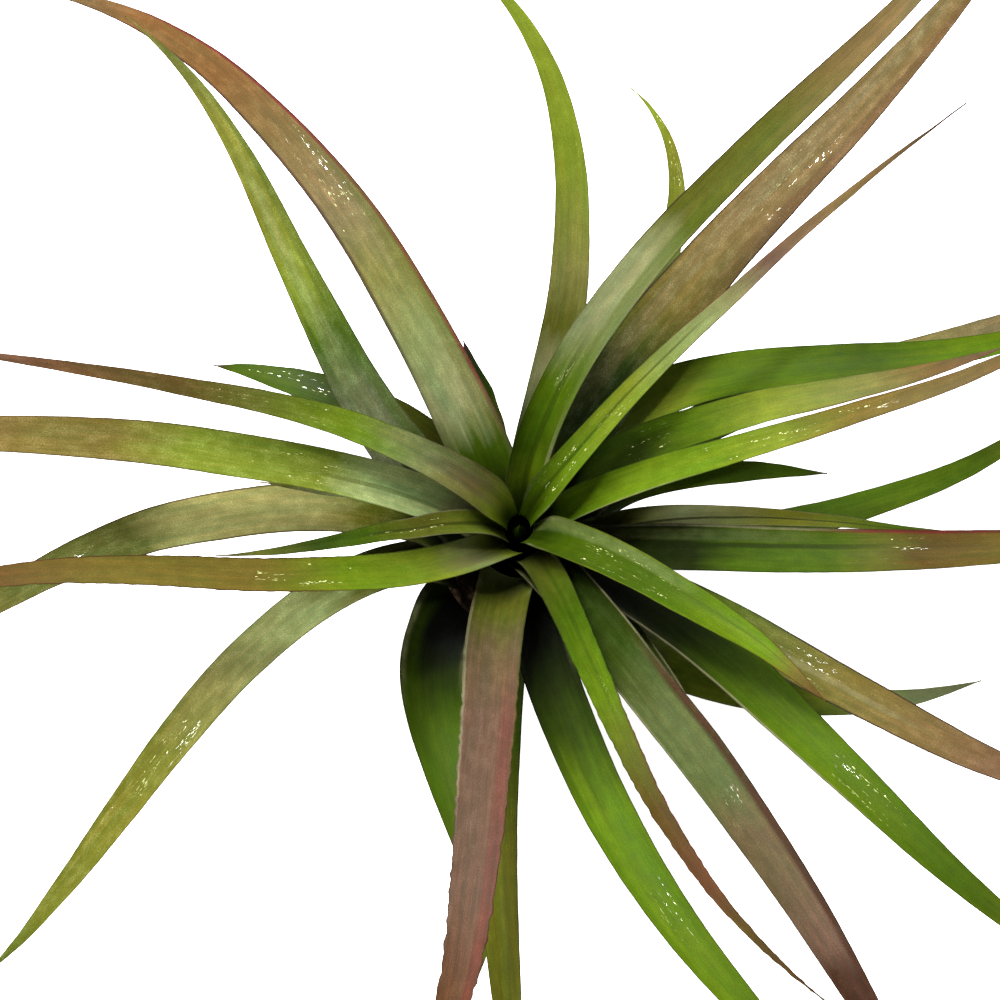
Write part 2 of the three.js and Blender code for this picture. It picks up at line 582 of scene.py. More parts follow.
class BladeTree:
    """The Geometry Nodes tree that grows one blade from its sizes."""

    SIZES = (
        "Azimuth", "Mid Turn", "Tip Turn", "Rise", "Droop", "Length", "Width", "Fullness", "Cup",
        "Root Height", "Root Pitch", "Root Radius", "Sheath Length", "Neck Arc", "Root Thickness",
        "Root Width", "Wave", "Wave Length", "Crease", "Twist", "Sway", "Bow", "Seed", "Bead Start",
        "Bead End", "Bead Density",
    )

    # The grid: its steps along and round the blade, and how close two points have to be to become one.
    ROWS_PER_MM = 2.6
    AROUND = 40
    MERGE_DISTANCE = 0.0001 * MM

    # The plain rule: a tip's thickness and width in millimetres, and shares and powers.
    DROOP_EASE = 0.8
    FLATTENING_SHARE = 0.35
    MARGIN_THINNING = 0.72
    TIP_THICKNESS = 0.5
    TIP_WIDTH = 0.22
    THICKEST_OF_WIDTH = 0.5
    POINT_LENGTH = 0.012
    ROOT_CLOSING = 0.006
    SKIN_FULLNESS = 0.6

    # What is added to it. The free part, past the neck, wanders, and the sheath stays on its rule.
    FREE = (0.02, 0.35)
    WIDTH_SWING = 0.02
    WIDTH_WANDER = Wander(5.0, 3.0)
    MARGINS_APART = 7.0
    MARGIN_POWER = 7.0
    SHORT_WAVE = Wander(2.7, 20.0)
    SHORT_WAVE_SHARE = 0.5
    EDGE_WAVE = Wander(1.7, 40.0)
    EDGE_WAVE_SHARE = 0.6
    TWIST_WANDER = Wander(2.2, 60.0)
    SWAY_WANDER = Wander(4.0, 80.0)
    BOW_RISE = (0.05, 0.25)
    BOW_FALL = (0.4, 0.7, 1.0, 0.0)
    CREASE_START = 0.3
    CREASE_FADE = (0.55, 1.0, 1.0, 0.3)
    CREASE_ROUNDING = 0.01

    # The beads of water: the levels and places that carry them, how far apart they lie, and their shape.
    INNER_FACE = (0.05, 0.1)
    BEAD_ROWS = (0.56, 0.66)
    BEAD_SPREAD = (0.35, 0.75, 1.0, 0.0)
    BEADS_APART = 0.3
    BEAD_PLACES_SEED = 4
    BEAD_SEGMENTS = 8
    BEAD_RINGS = 6
    BEAD_SIZES = {"Min": 0.04 * MM, "Max": 0.1 * MM, "Seed": 9}
    BEAD_STRETCHES = {"Min": 1.0, "Max": 4.0, "Seed": 23}
    BEAD_FLATNESS = 0.6

    def __init__(self) -> None:
        """Builds the tree once; every blade uses it with its own sizes."""
        self.tree = bpy.data.node_groups.new("leaf blade", "GeometryNodeTree")
        interface = self.tree.interface
        interface.new_socket("Geometry", in_out="OUTPUT", socket_type="NodeSocketGeometry")
        for name in self.SIZES:
            interface.new_socket(name, in_out="INPUT", socket_type="NodeSocketFloat")
        interface.new_socket("Rows", in_out="INPUT", socket_type="NodeSocketInt")
        interface.new_socket("Material", in_out="INPUT", socket_type="NodeSocketMaterial")
        self.graph = Graph(self.tree)
        given = self.tree.nodes.new("NodeGroupInput")
        self.sizes = {socket.name: Value(self.graph, socket) for socket in given.outputs if socket.name}
        blade = self._skin()
        beads = self._beads(blade)
        both = self.tree.nodes.new("GeometryNodeJoinGeometry")
        self.tree.links.new(beads.socket, both.inputs[0])
        self.tree.links.new(blade.socket, both.inputs[0])
        joined = Value(self.graph, both.outputs[0])
        plain = self.graph.add("GeometryNodeRealizeInstances", {}, {"Geometry": joined}, "Geometry")
        smooth = self.graph.add("GeometryNodeSetShadeSmooth", {}, {"Geometry": plain}, "Geometry")
        inputs = {"Geometry": smooth, "Material": self.sizes["Material"]}
        dressed = self.graph.add("GeometryNodeSetMaterial", {}, inputs, "Geometry")
        result = self.tree.nodes.new("NodeGroupOutput")
        self.tree.links.new(dressed.socket, result.inputs["Geometry"])

    # The rule, as functions of the share of the leaf's length from its root.

    def _sheath_share(self) -> Value:
        """The share of the length that the clasping sheath takes."""
        return self.sizes["Sheath Length"] / self.sizes["Length"]

    def _opening(self, share: Value) -> Value:
        """0 at the root, 1 at the neck and beyond it."""
        return share.ramp(0.0, self._sheath_share())

    def _past_neck(self, share: Value) -> Value:
        """0 up to the neck and 1 at the tip."""
        sheath = self._sheath_share()
        return ((share - sheath) / (1.0 - sheath)).at_least(0.0)

    def _pitch(self, share: Value) -> Value:
        """The blade's pitch above the horizontal.

        Args:
            share: the share of the length.

        Returns:
            The pitch, in radians.
        """
        size = self.sizes
        sheath_pitch = self._opening(share).blend(size["Root Pitch"], size["Rise"])
        bent = (size["Droop"] - size["Rise"]) * self._past_neck(share) ** self.DROOP_EASE
        return (sheath_pitch + bent).radians()

    def _heading(self, share: Value) -> Value:
        """The blade's heading seen from above, a parabola through the root, the middle and the tip.

        Args:
            share: the share of the length.

        Returns:
            The heading, in radians.
        """
        size = self.sizes
        mid = size["Mid Turn"] * 4.0 * share * (1.0 - share)
        tip = size["Tip Turn"] * share * (2.0 * share - 1.0)
        return (size["Azimuth"] + mid + tip).radians()

    def _frame(self, share: Value) -> tuple[Value, Value, Value]:
        """The three directions that the blade is laid out by.

        Args:
            share: the share of the length.

        Returns:
            Forward to the tip, across to the left margin, and face out of the inner surface.
        """
        pitch = self._pitch(share)
        heading = self._heading(share)
        level = pitch.cos()
        forward = self.graph.vector(level * heading.cos(), level * heading.sin(), pitch.sin())
        across = self.graph.vector(0.0 - heading.sin(), heading.cos(), 0.0)
        settings = {"operation": "CROSS_PRODUCT"}
        face = self.graph.add("ShaderNodeVectorMath", settings, {0: forward, 1: across}, "Vector")
        return forward, across, face

    def _width(self, share: Value) -> Value:
        """The width from margin to margin, down to a fine point.

        Args:
            share: the share of the length.

        Returns:
            The width, in metres.
        """
        size = self.sizes
        full = self._opening(share).blend(size["Root Width"], size["Width"])
        taper = 1.0 - self._past_neck(share) ** size["Fullness"]
        slow = 1.0 + self.WIDTH_SWING * self.WIDTH_WANDER.at(self.graph, share, size["Seed"])
        return (full * taper * slow).at_least(self.TIP_WIDTH * MM)

    def _half_arc(self, share: Value) -> Value:
        """Half the arc of the section: round the stump, widest at the neck, flattest on the blade.

        Args:
            share: the share of the length.

        Returns:
            Half the arc, in radians.
        """
        size = self.sizes
        clasp = (size["Root Width"] / size["Root Radius"] / 2.0).arcsin()
        neck = size["Neck Arc"].radians()
        at_neck = self._opening(share).blend(clasp, neck)
        opened = self._past_neck(share).ramp(0.0, self.FLATTENING_SHARE)
        return at_neck + opened * (size["Cup"].radians() - neck)

    def _thickness(self, share: Value) -> Value:
        """The blade's thickness at its middle, closed at the root and at the tip.

        Args:
            share: the share of the length.

        Returns:
            The thickness, in metres.
        """
        body = share.ramp(0.0, 1.0, self.sizes["Root Thickness"], self.TIP_THICKNESS * MM)
        root = share.ramp(0.0, self.ROOT_CLOSING)
        tip = share.ramp(1.0 - self.POINT_LENGTH, 1.0, 1.0, 0.0)
        return body.at_most(self._width(share) * self.THICKEST_OF_WIDTH) * root * tip

    def _midrib(self, share: Value) -> Value:
        """The place of the midrib, by walking along it in short steps and looking up the step of each share.

        Args:
            share: the share of the length.

        Returns:
            The place, in metres.
        """
        graph = self.graph
        size = self.sizes
        rows = size["Rows"]
        line = graph.add("GeometryNodeMeshLine", {"mode": "OFFSET"}, {"Count": rows + 1.0}, "Mesh")
        index = graph.add("GeometryNodeInputIndex", {}, {}, "Index")
        forward, _, _ = self._frame((index + 0.5) / rows)
        step = forward * (size["Length"] / rows)
        settings = {"data_type": "FLOAT_VECTOR", "domain": "POINT"}
        walked = graph.add("GeometryNodeAccumulateField", settings, {"Value": step}, "Trailing")
        rounding = {"rounding_mode": "ROUND"}
        row = graph.add("FunctionNodeFloatToInt", rounding, {"Float": share * rows}, "Integer")
        inputs = {"Geometry": line, "Value": walked, "Index": row}
        place = graph.add("GeometryNodeSampleIndex", {**settings, "clamp": True}, inputs, "Value")
        around = size["Azimuth"].radians()
        out = size["Root Radius"]
        return graph.vector(around.cos() * out, around.sin() * out, size["Root Height"]) + place

    def _store(self, geometry: Value, name: str, value: Value) -> Value:
        """Writes a vector on every point.

        Args:
            geometry: the mesh.
            name: the attribute's name.
            value: the vector.

        Returns:
            The mesh with the attribute.
        """
        settings = {"data_type": "FLOAT_VECTOR", "domain": "POINT"}
        inputs = {"Geometry": geometry, "Name": name, "Value": value}
        return self.graph.add("GeometryNodeStoreNamedAttribute", settings, inputs, "Geometry")

    def _stored(self, name: str) -> Value:
        """The vector that _store wrote under a name."""
        settings = {"data_type": "FLOAT_VECTOR"}
        return self.graph.add("GeometryNodeInputNamedAttribute", settings, {"Name": name}, "Attribute")

    def _skin(self) -> Value:
        """The blade's closed skin: a grid rolled into its section and carried along the midrib.

        Returns:
            The mesh. On each point "blade" holds its share of the length, its side from -1 to 1, and its
            rise from -1 underneath to 1 on the inner face, and "spread" its metres along and across.
        """
        graph = self.graph
        size = self.sizes
        inputs = {
            "Size X": 1.0, "Size Y": 1.0, "Vertices X": size["Rows"] + 1.0, "Vertices Y": self.AROUND + 1,
        }
        grid = graph.add("GeometryNodeMeshGrid", {}, inputs, "Mesh")
        place = graph.add("GeometryNodeInputPosition", {}, {}, "Position")
        share = place.part("X") + 0.5
        around = (place.part("Y") + 0.5) * math.tau
        side = 0.0 - around.cos()
        rise = around.sin()
        reach = rise.sign() * rise.absolute() ** self.SKIN_FULLNESS

        half_arc = self._half_arc(share)
        radius = self._width(share) / 2.0 / half_arc.sin()
        thinning = 1.0 - self.MARGIN_THINNING * side * side
        offset = reach * self._thickness(share) * thinning / 2.0
        along = share * size["Length"]
        lift, sideways = self._section(share, side, half_arc, radius, offset)

        _, across, face = self._frame(share)
        free = self._past_neck(share).ramp(*self.FREE)
        roll = (size["Twist"] * free * self.TWIST_WANDER.at(graph, share, size["Seed"])).radians()
        turned_across = across * roll.cos() + face * roll.sin()
        turned_face = face * roll.cos() - across * roll.sin()
        sway = size["Sway"] * free * self.SWAY_WANDER.at(graph, share, size["Seed"])
        bow = size["Bow"] * share.ramp(*self.BOW_RISE) * share.ramp(*self.BOW_FALL)
        point = self._midrib(share) + turned_across * (sideways + sway + bow) + turned_face * lift

        marked = self._store(grid, "blade", graph.vector(share, side, rise))
        marked = self._store(marked, "spread", graph.vector(along, sideways, 0.0))
        inputs = {"Geometry": marked, "Position": point}
        moved = graph.add("GeometryNodeSetPosition", {}, inputs, "Geometry")
        inputs = {"Geometry": moved, "Distance": self.MERGE_DISTANCE}
        return graph.add("GeometryNodeMergeByDistance", {}, inputs, "Geometry")

    def _section(self, share: Value, side: Value, half_arc: Value, radius: Value,
                 offset: Value) -> tuple[Value, Value]:
        """A place on the channel section, with its creased middle and its waved margins.

        Args:
            share: the share of the length.
            side: the place across, from -1 at the right margin to 1 at the left.
            half_arc: half the arc of the section, in radians.
            radius: the radius of the section's arc, in metres.
            offset: how far the place is out of the middle of the blade's thickness, in metres.

        Returns:
            How far it lies from the midrib, out of the inner face and to the left, in metres.
        """
        graph = self.graph
        size = self.sizes
        free = self._past_neck(share).ramp(*self.FREE)
        place = share * size["Length"] / size["Wave Length"]
        seed = size["Seed"] + side.sign() * self.MARGINS_APART
        margin = side.absolute() ** self.MARGIN_POWER * free
        waves = graph.ripple(place, seed) + self.SHORT_WAVE_SHARE * self.SHORT_WAVE.at(graph, place, seed)
        wave = size["Wave"] * margin * waves
        edge_wave = size["Wave"] * margin * self.EDGE_WAVE_SHARE * self.EDGE_WAVE.at(graph, place, seed)

        angle = half_arc * side
        lift = radius - (radius - offset) * angle.cos()
        valley = radius * (1.0 - half_arc.cos())
        folded = valley * ((side * side + self.CREASE_ROUNDING) ** 0.5) - lift
        folding = share.ramp(self._sheath_share() * self.CREASE_START, self._sheath_share())
        crease = size["Crease"] * folding * self._past_neck(share).ramp(*self.CREASE_FADE)
        lift = lift + crease * (folded + offset) + wave
        return lift, (radius - offset) * angle.sin() + edge_wave * side.sign()

    def _beads(self, blade: Value) -> Value:
        """Beads of water in rows along the channel, as flat domes on the inner face.

        Args:
            blade: the blade's skin.

        Returns:
            The beads as a mesh, marked "bead".
        """
        graph = self.graph
        size = self.sizes
        mark = self._stored("blade")
        spread = self._stored("spread")
        share = mark.part("X")
        wet = share.ramp(size["Bead Start"], size["Bead Start"] + WET_FADE_IN)
        wet = wet * share.ramp(size["Bead End"] - WET_FADE_OUT, size["Bead End"], 1.0, 0.0)
        cell = WATER_ROWS.cell(graph, spread.part("X"), spread.part("Y"), size["Seed"], MM)
        rows = graph.noise(cell, WATER_ROWS.detail).ramp(*self.BEAD_ROWS)
        centred = mark.part("Y").absolute().ramp(*self.BEAD_SPREAD)
        inputs = {
            "Mesh": blade, "Distance Min": self.BEADS_APART * MM, "Density Max": size["Bead Density"],
            "Density Factor": wet * mark.part("Z").ramp(*self.INNER_FACE) * rows * centred,
            "Seed": self.BEAD_PLACES_SEED,
        }
        scatter = {"distribute_method": "POISSON"}
        points = graph.add("GeometryNodeDistributePointsOnFaces", scatter, inputs, "Points")
        normal = Value(graph, points.socket.node.outputs["Normal"])
        forward, _, _ = self._frame(share)
        settings = {"primary_axis": "Z", "secondary_axis": "X"}
        inputs = {"Primary Axis": normal, "Secondary Axis": forward}
        rotation = graph.add("FunctionNodeAxesToRotation", settings, inputs, "Rotation")
        inputs = {"Segments": self.BEAD_SEGMENTS, "Rings": self.BEAD_RINGS, "Radius": 1.0}
        dome = graph.add("GeometryNodeMeshUVSphere", {}, inputs, "Mesh")
        radius = graph.add("FunctionNodeRandomValue", {"data_type": "FLOAT"}, self.BEAD_SIZES, "Value")
        stretch = graph.add("FunctionNodeRandomValue", {"data_type": "FLOAT"}, self.BEAD_STRETCHES, "Value")
        flat = graph.vector(radius * stretch, radius, radius * self.BEAD_FLATNESS)
        inputs = {"Points": points, "Instance": dome, "Rotation": rotation, "Scale": flat}
        placed = graph.add("GeometryNodeInstanceOnPoints", {}, inputs, "Instances")
        real = graph.add("GeometryNodeRealizeInstances", {}, {"Geometry": placed}, "Geometry")
        return self._store(real, "bead", graph.vector(1.0, 1.0, 1.0))

    def grow(self, name: str, sizes: dict[str, float], rows: int,
             material: bpy.types.Material) -> bpy.types.Object:
        """One blade as a plain mesh object.

        Args:
            name: the object's name.
            sizes: a number for each named size of the tree, lengths in metres.
            rows: steps along the blade.
            material: the blade's finish.

        Returns:
            The blade.
        """
        carrier = stand(name + " growing", bpy.data.meshes.new(name + " seed"))
        modifier = carrier.modifiers.new("grow", "NODES")
        modifier.node_group = self.tree
        inputs = {**sizes, "Rows": rows, "Material": material}
        for item in self.tree.interface.items_tree:
            if item.in_out == "INPUT":
                modifier[item.identifier] = inputs[item.name]
        carrier.update_tag()
        graph = bpy.context.evaluated_depsgraph_get()
        mesh = bpy.data.meshes.new_from_object(carrier.evaluated_get(graph), depsgraph=graph)
        mesh.name = name
        carrier.modifiers.remove(modifier)
        bpy.data.objects.remove(carrier)
        return stand(name, mesh)


# --- Leaf finish --------------------------------------------------------------------------------------


@dataclass(frozen=True)
class Stripe:
    """A band of another tone along the blade.

    at is its middle across the blade, from -1 at the right margin to 1 at the left one seen from above with
    the tip ahead; wide is its half width on that scale, and it runs from start to end along the leaf.
    """

    at: float
    wide: float
    tone: Tone
    strength: float = 0.7
    start: float = 0.0
    end: float = 1.0


def margins(tone: Tone, strength: float = 0.8, start: float = 0.3, end: float = 1.0,
            wide: float = 0.1) -> tuple[Stripe, ...]:
    """A thin line of one tone along both margins."""
    return tuple(Stripe(side, wide, tone, strength, start, end) for side in (-1.0, 1.0))


class LeafFace:
    """What a leaf's finish reads from its blade, as values."""

    # Where a point's rise puts it on the underside.
    UNDERSIDE = (-0.3, 0.1, 1.0, 0.0)

    NOISE_ROUGHNESS = 0.55

    def __init__(self, graph: Graph, seed: float) -> None:
        """Reads the marks that the blade's tree stored.

        Args:
            graph: the material's graph.
            seed: which stretch of every pattern this leaf has.
        """
        self.graph = graph
        self.seed = seed
        blade = self._stored("blade", "Vector")
        spread = self._stored("spread", "Vector")
        self.bead = self._stored("bead", "Fac")
        self.share = blade.part("X")
        self.side = blade.part("Y")
        self.out = self.side.absolute()
        self.under = blade.part("Z").ramp(*self.UNDERSIDE)
        self.along = spread.part("X") / MM
        self.across = spread.part("Y") / MM
        self.broad = self.pattern(BROAD)
        self.streaks = self.pattern(STREAKS)
        self.veins = self.pattern(VEINS)
        self.grain = self.pattern(GRAIN)
        self.blotches = self.pattern(BLOTCHES)

    def _stored(self, name: str, output: str) -> Value:
        """A mark of the blade."""
        return self.graph.add("ShaderNodeAttribute", {"attribute_name": name}, {}, output)

    def pattern(self, pattern: Pattern) -> Value:
        """The level of a pattern, between 0 and 1.

        Args:
            pattern: the pattern.

        Returns:
            Its level.
        """
        cell = pattern.cell(self.graph, self.along, self.across, self.seed)
        return self.graph.noise(cell, pattern.detail, self.NOISE_ROUGHNESS)


@dataclass(frozen=True)
class LeafFinish:
    """How one leaf is coloured: its tones from root to tip, its stripes, and its silver scales.

    Scurf is how thick the scales lie, spots how dark the specks are, and rough how rough the skin is. The
    channel has painted shade near the root, which fades out by the given millimetres along the leaf.
    """

    tones: tuple[tuple[float, Tone], ...]
    stripes: tuple[Stripe, ...] = ()
    scurf: float = 0.25
    spots: float = 0.0
    rough: float = 0.5
    channel: float = 16.0
    slot: str = "green_leaf"

    # How far the patterns move the tones along and across the leaf.
    BROAD_SHIFT = 0.1
    STREAK_SHIFT = 0.03
    STRIPE_SHIFT = 0.25

    # The stripes' soft edges and ends, and how the blotches break them.
    STRIPE_CORE = 0.45
    STRIPE_START = (-0.06, 0.08)
    STRIPE_END = (-0.08, 0.06)
    STRIPE_BREAKS = (0.25, 0.55, 0.65, 1.0)

    # Painted shade in the well of the channel, and the pale lip on its margins, partly their own dry colour
    # and partly a painted highlight on the raised margins.
    CHANNEL_START = 0.3
    WELL_SHADE_DEPTH = 0.6
    WELL_SHADE_WIDTH = (0.2, 0.8, 1.0, 0.0)
    LIP_WIDTH = (0.72, 0.9)
    LIP_BREAKS = (0.3, 0.6, 0.4, 1.0)
    LIP_START = (0.03, 0.1)
    LIP_STRENGTH = 0.7

    # How far each pattern shades or warms the tissue, how dark its rim is, and how much blue it keeps.
    RIM = (0.92, 1.0, 1.0, 0.45)
    STREAK_SHADE = 0.35
    VEIN_SHADE = 0.3
    BLOTCH_SHADE = 0.5
    GRAIN_SHADE = 0.6
    STREAK_WARMTH = 0.45
    BROAD_WARMTH = 0.4
    BLUE = 0.77

    # Dry brown undersides at the root, and dark specks.
    DRIED = (0.04, 0.3, 0.7, 0.0)
    SPOT_LEVEL = (0.72, 0.78)
    SPOT_STRENGTH = 0.8

    # Silver scales, thickest in patches, and thicker on the underside past the root.
    BLOTCH_PATCHES = (0.42, 0.68)
    BLOTCH_PATCH_SHARE = 0.75
    STREAK_PATCHES = (0.45, 0.7)
    STREAK_PATCH_SHARE = 0.35
    FLECKS = (0.42, 0.72, 0.25, 1.0)
    FLECKS_BETWEEN = 0.2
    UNDER_SCURF = 0.4
    UNDER_START = (0.15, 0.4)
    SCURF_START = (0.06, 0.2)
    FROSTING = 1.1
    SCALE_STRENGTH = 0.7
    SCALE_MOST = 0.9

    # Water: a film that breaks into dashes, glossy under a coat and coloured with a painted highlight, and
    # how bright that is.
    FILM_ROWS = (0.55, 0.64)
    FILM_DASHES = (0.6, 0.68)
    FILM_SPREAD = (0.45, 0.8, 1.0, 0.0)
    GLINT_PAINT_COVER = 0.8
    FILM_GLINT = 0.7
    FILM_ROUGHNESS = 0.05
    FILM_IOR = 2.0

    # What the patterns add to the skin's roughness, and its fine relief.
    BLOTCH_ROUGHNESS = 0.16
    SCALE_ROUGHNESS = 0.35
    VEIN_HEIGHT = 0.35
    STREAK_HEIGHT = 0.25
    GRAIN_HEIGHT = 0.12
    BLOTCH_HEIGHT = 0.3
    RELIEF_STRENGTH = 0.55
    RELIEF_DISTANCE = 0.22 * MM
    SPECULAR = 0.05

    def material(self, name: str, seed: float,
                 wet: Optional[tuple[float, float]] = None) -> bpy.types.Material:
        """The finish as a material.

        Args:
            name: the material's name.
            seed: which stretch of every pattern this leaf has.
            wet: the shares of the leaf between which water beads on it.

        Returns:
            The material.
        """
        made, graph = blank_material(name)
        face = LeafFace(graph, seed)
        scales = self._scales(face)
        film = face.bead
        colour = self._frosted(face, self._aged(face, self._shaded(face, self._tissue(face))), scales)
        # Painted highlight: the beads and dashes of water are coloured the bright glint tone.
        if wet:
            film = face.bead.at_least(self._film(face, wet))
            colour = graph.mix(film * self.GLINT_PAINT_COVER, colour, linear(Tone.GLINT, self.FILM_GLINT))
        rough = self.rough + self.BLOTCH_ROUGHNESS * face.blotches + self.SCALE_ROUGHNESS * scales
        rough = rough * (1.0 - film) + self.FILM_ROUGHNESS * film
        graph.surface({
            "Base Color": colour, "Roughness": rough, "Coat Weight": film, "Normal": self._relief(face, film),
            "Coat Roughness": self.FILM_ROUGHNESS, "Coat IOR": self.FILM_IOR,
            "Specular IOR Level": self.SPECULAR,
        })
        return made

    def _tissue(self, face: LeafFace) -> Value:
        """The tones from root to tip, with the stripes laid over them.

        Args:
            face: the blade's marks and patterns.

        Returns:
            The colour.
        """
        middle = Graph.NOISE_MIDDLE
        stops = [(place, linear(tone)) for place, tone in self.tones]
        place = (face.share + (face.broad - middle) * self.BROAD_SHIFT
                 + (face.streaks - middle) * self.STREAK_SHIFT)
        colour = face.graph.add("ShaderNodeValToRGB", {"stops": stops}, {"Fac": place}, "Color")
        for stripe in self.stripes:
            colour = self._stripe(face, colour, stripe)
        return colour

    def _stripe(self, face: LeafFace, colour: Value, stripe: Stripe) -> Value:
        """Lays one stripe over a colour; a stripe off the margins wanders.

        Args:
            face: the blade's marks and patterns.
            colour: the colour under it.
            stripe: the stripe.

        Returns:
            The colour with the stripe.
        """
        shift = self.STRIPE_SHIFT if abs(stripe.at) < 1.0 else 0.0
        away = (face.side + (face.broad - Graph.NOISE_MIDDLE) * shift - stripe.at).absolute()
        mask = away.ramp(stripe.wide * self.STRIPE_CORE, stripe.wide, 1.0, 0.0)
        if stripe.start > 0.0:
            before, after = self.STRIPE_START
            mask = mask * face.share.ramp(stripe.start + before, stripe.start + after)
        if stripe.end < 1.0:
            before, after = self.STRIPE_END
            mask = mask * face.share.ramp(stripe.end + before, stripe.end + after, 1.0, 0.0)
        mask = mask * face.blotches.ramp(*self.STRIPE_BREAKS) * stripe.strength
        return face.graph.mix(mask, colour, linear(stripe.tone))

    def _shaded(self, face: LeafFace, colour: Value) -> Value:
        """A colour with the pale lip, partly painted highlight, the painted shade in the well of the channel,
        and the play of the patterns.

        Args:
            face: the blade's marks and patterns.
            colour: the tissue's colour.

        Returns:
            The shaded colour.
        """
        graph = face.graph
        middle = Graph.NOISE_MIDDLE
        channel = face.along.ramp(self.channel * self.CHANNEL_START, self.channel, 1.0, 0.0)
        # The pale lip: partly the margins' own dry colour, partly a painted highlight where they are raised.
        lip = channel * face.out.ramp(*self.LIP_WIDTH) * face.blotches.ramp(*self.LIP_BREAKS)
        lip = lip * (1.0 - face.under) * face.share.ramp(*self.LIP_START)
        colour = graph.mix(lip * self.LIP_STRENGTH, colour, linear(Tone.PALE))
        # Painted shade: the middle of the channel darkens near the root.
        well = 1.0 - self.WELL_SHADE_DEPTH * channel * face.out.ramp(*self.WELL_SHADE_WIDTH)
        shade = (1.0 + self.STREAK_SHADE * (face.streaks - middle) + self.VEIN_SHADE * (face.veins - middle)
                 + self.BLOTCH_SHADE * (face.blotches - middle) + self.GRAIN_SHADE * (face.grain - middle))
        shade = shade * face.out.ramp(*self.RIM) * well
        warmth = (1.0 + self.STREAK_WARMTH * (face.streaks - middle)
                  - self.BROAD_WARMTH * (face.broad - middle))
        return graph.tint(colour, graph.vector(shade * warmth, shade, shade * self.BLUE))

    def _aged(self, face: LeafFace, colour: Value) -> Value:
        """A colour that has dried to brown under the root and is specked with dark spots.

        Args:
            face: the blade's marks and patterns.
            colour: the tissue's colour.

        Returns:
            The aged colour.
        """
        dried = face.under * face.share.ramp(*self.DRIED)
        colour = face.graph.mix(dried, colour, linear(Tone.BROWN))
        spot = face.blotches.ramp(*self.SPOT_LEVEL) * (self.spots * self.SPOT_STRENGTH)
        return face.graph.mix(spot, colour, linear(Tone.UMBER))

    def _scales(self, face: LeafFace) -> Value:
        """How thick the silver scales lie.

        Args:
            face: the blade's marks and patterns.

        Returns:
            0 where there are none.
        """
        patches = (face.blotches.ramp(*self.BLOTCH_PATCHES) * self.BLOTCH_PATCH_SHARE
                   + face.streaks.ramp(*self.STREAK_PATCHES) * self.STREAK_PATCH_SHARE)
        flecks = face.grain.ramp(*self.FLECKS) * (self.FLECKS_BETWEEN + patches)
        scurf = self.scurf + self.UNDER_SCURF * face.under * face.share.ramp(*self.UNDER_START)
        return flecks * scurf * face.share.ramp(*self.SCURF_START)

    def _frosted(self, face: LeafFace, colour: Value, scales: Value) -> Value:
        """A colour under silver scales.

        Args:
            face: the blade's marks and patterns.
            colour: the tissue's colour.
            scales: how thick the scales lie.

        Returns:
            The brighter, greyer colour.
        """
        bright = 1.0 + self.FROSTING * scales
        colour = face.graph.tint(colour, face.graph.vector(bright, bright, bright))
        cover = (scales * self.scurf * self.SCALE_STRENGTH).at_most(self.SCALE_MOST)
        return face.graph.mix(cover, colour, linear(Tone.SCALE))

    def _film(self, face: LeafFace, wet: tuple[float, float]) -> Value:
        """Where a thin film of water breaks into dashes, in rows along the channel; the dashes get a glossy
        coat and a painted highlight colour.

        Args:
            face: the blade's marks and patterns.
            wet: the shares between which the leaf is wet.

        Returns:
            1 on a dash and 0 off it.
        """
        start, end = wet
        stretch = face.share.ramp(start, start + WET_FADE_IN)
        stretch = stretch * face.share.ramp(end - WET_FADE_OUT, end, 1.0, 0.0)
        rows = face.pattern(WATER_ROWS).ramp(*self.FILM_ROWS)
        dashes = face.pattern(WATER_DASHES).ramp(*self.FILM_DASHES)
        return stretch * rows * dashes * face.out.ramp(*self.FILM_SPREAD)

    def _relief(self, face: LeafFace, film: Value) -> Value:
        """The skin's fine relief, smooth under water.

        Args:
            face: the blade's marks and patterns.
            film: where the water is.

        Returns:
            The normal.
        """
        height = (self.VEIN_HEIGHT * face.veins + self.STREAK_HEIGHT * face.streaks
                  + self.GRAIN_HEIGHT * face.grain + self.BLOTCH_HEIGHT * face.blotches)
        inputs = {
            "Strength": self.RELIEF_STRENGTH, "Distance": self.RELIEF_DISTANCE,
            "Height": height * (1.0 - film),
        }
        return face.graph.add("ShaderNodeBump", {}, inputs, "Normal")


@dataclass(frozen=True)
class Leaf:
    """One leaf: the node that it stands for, its shape, its finish, its relief, and where it is wet.

    Wet is the shares of its length between which water beads on it, and wetness is how many beads there are
    for each one of an ordinary leaf.
    """

    node: str
    shape: LeafShape
    finish: LeafFinish
    relief: Relief = Relief()
    wet: Optional[tuple[float, float]] = None
    wetness: float = 1.0


# Short, for the table below.
T = Tone


def silver(*tones: tuple[float, Tone], **more: Any) -> LeafFinish:
    """A leaf under much silver scale."""
    return LeafFinish(tones, slot="silver_leaf", **{"scurf": 0.5, "rough": 0.55, **more})


def green(*tones: tuple[float, Tone], **more: Any) -> LeafFinish:
    """A plain green leaf."""
    return LeafFinish(tones, slot="green_leaf", **{"scurf": 0.14, **more})


def bronze(*tones: tuple[float, Tone], **more: Any) -> LeafFinish:
    """A leaf that has turned tan or mauve."""
    return LeafFinish(tones, slot="bronze_leaf", **{"scurf": 0.35, **more})


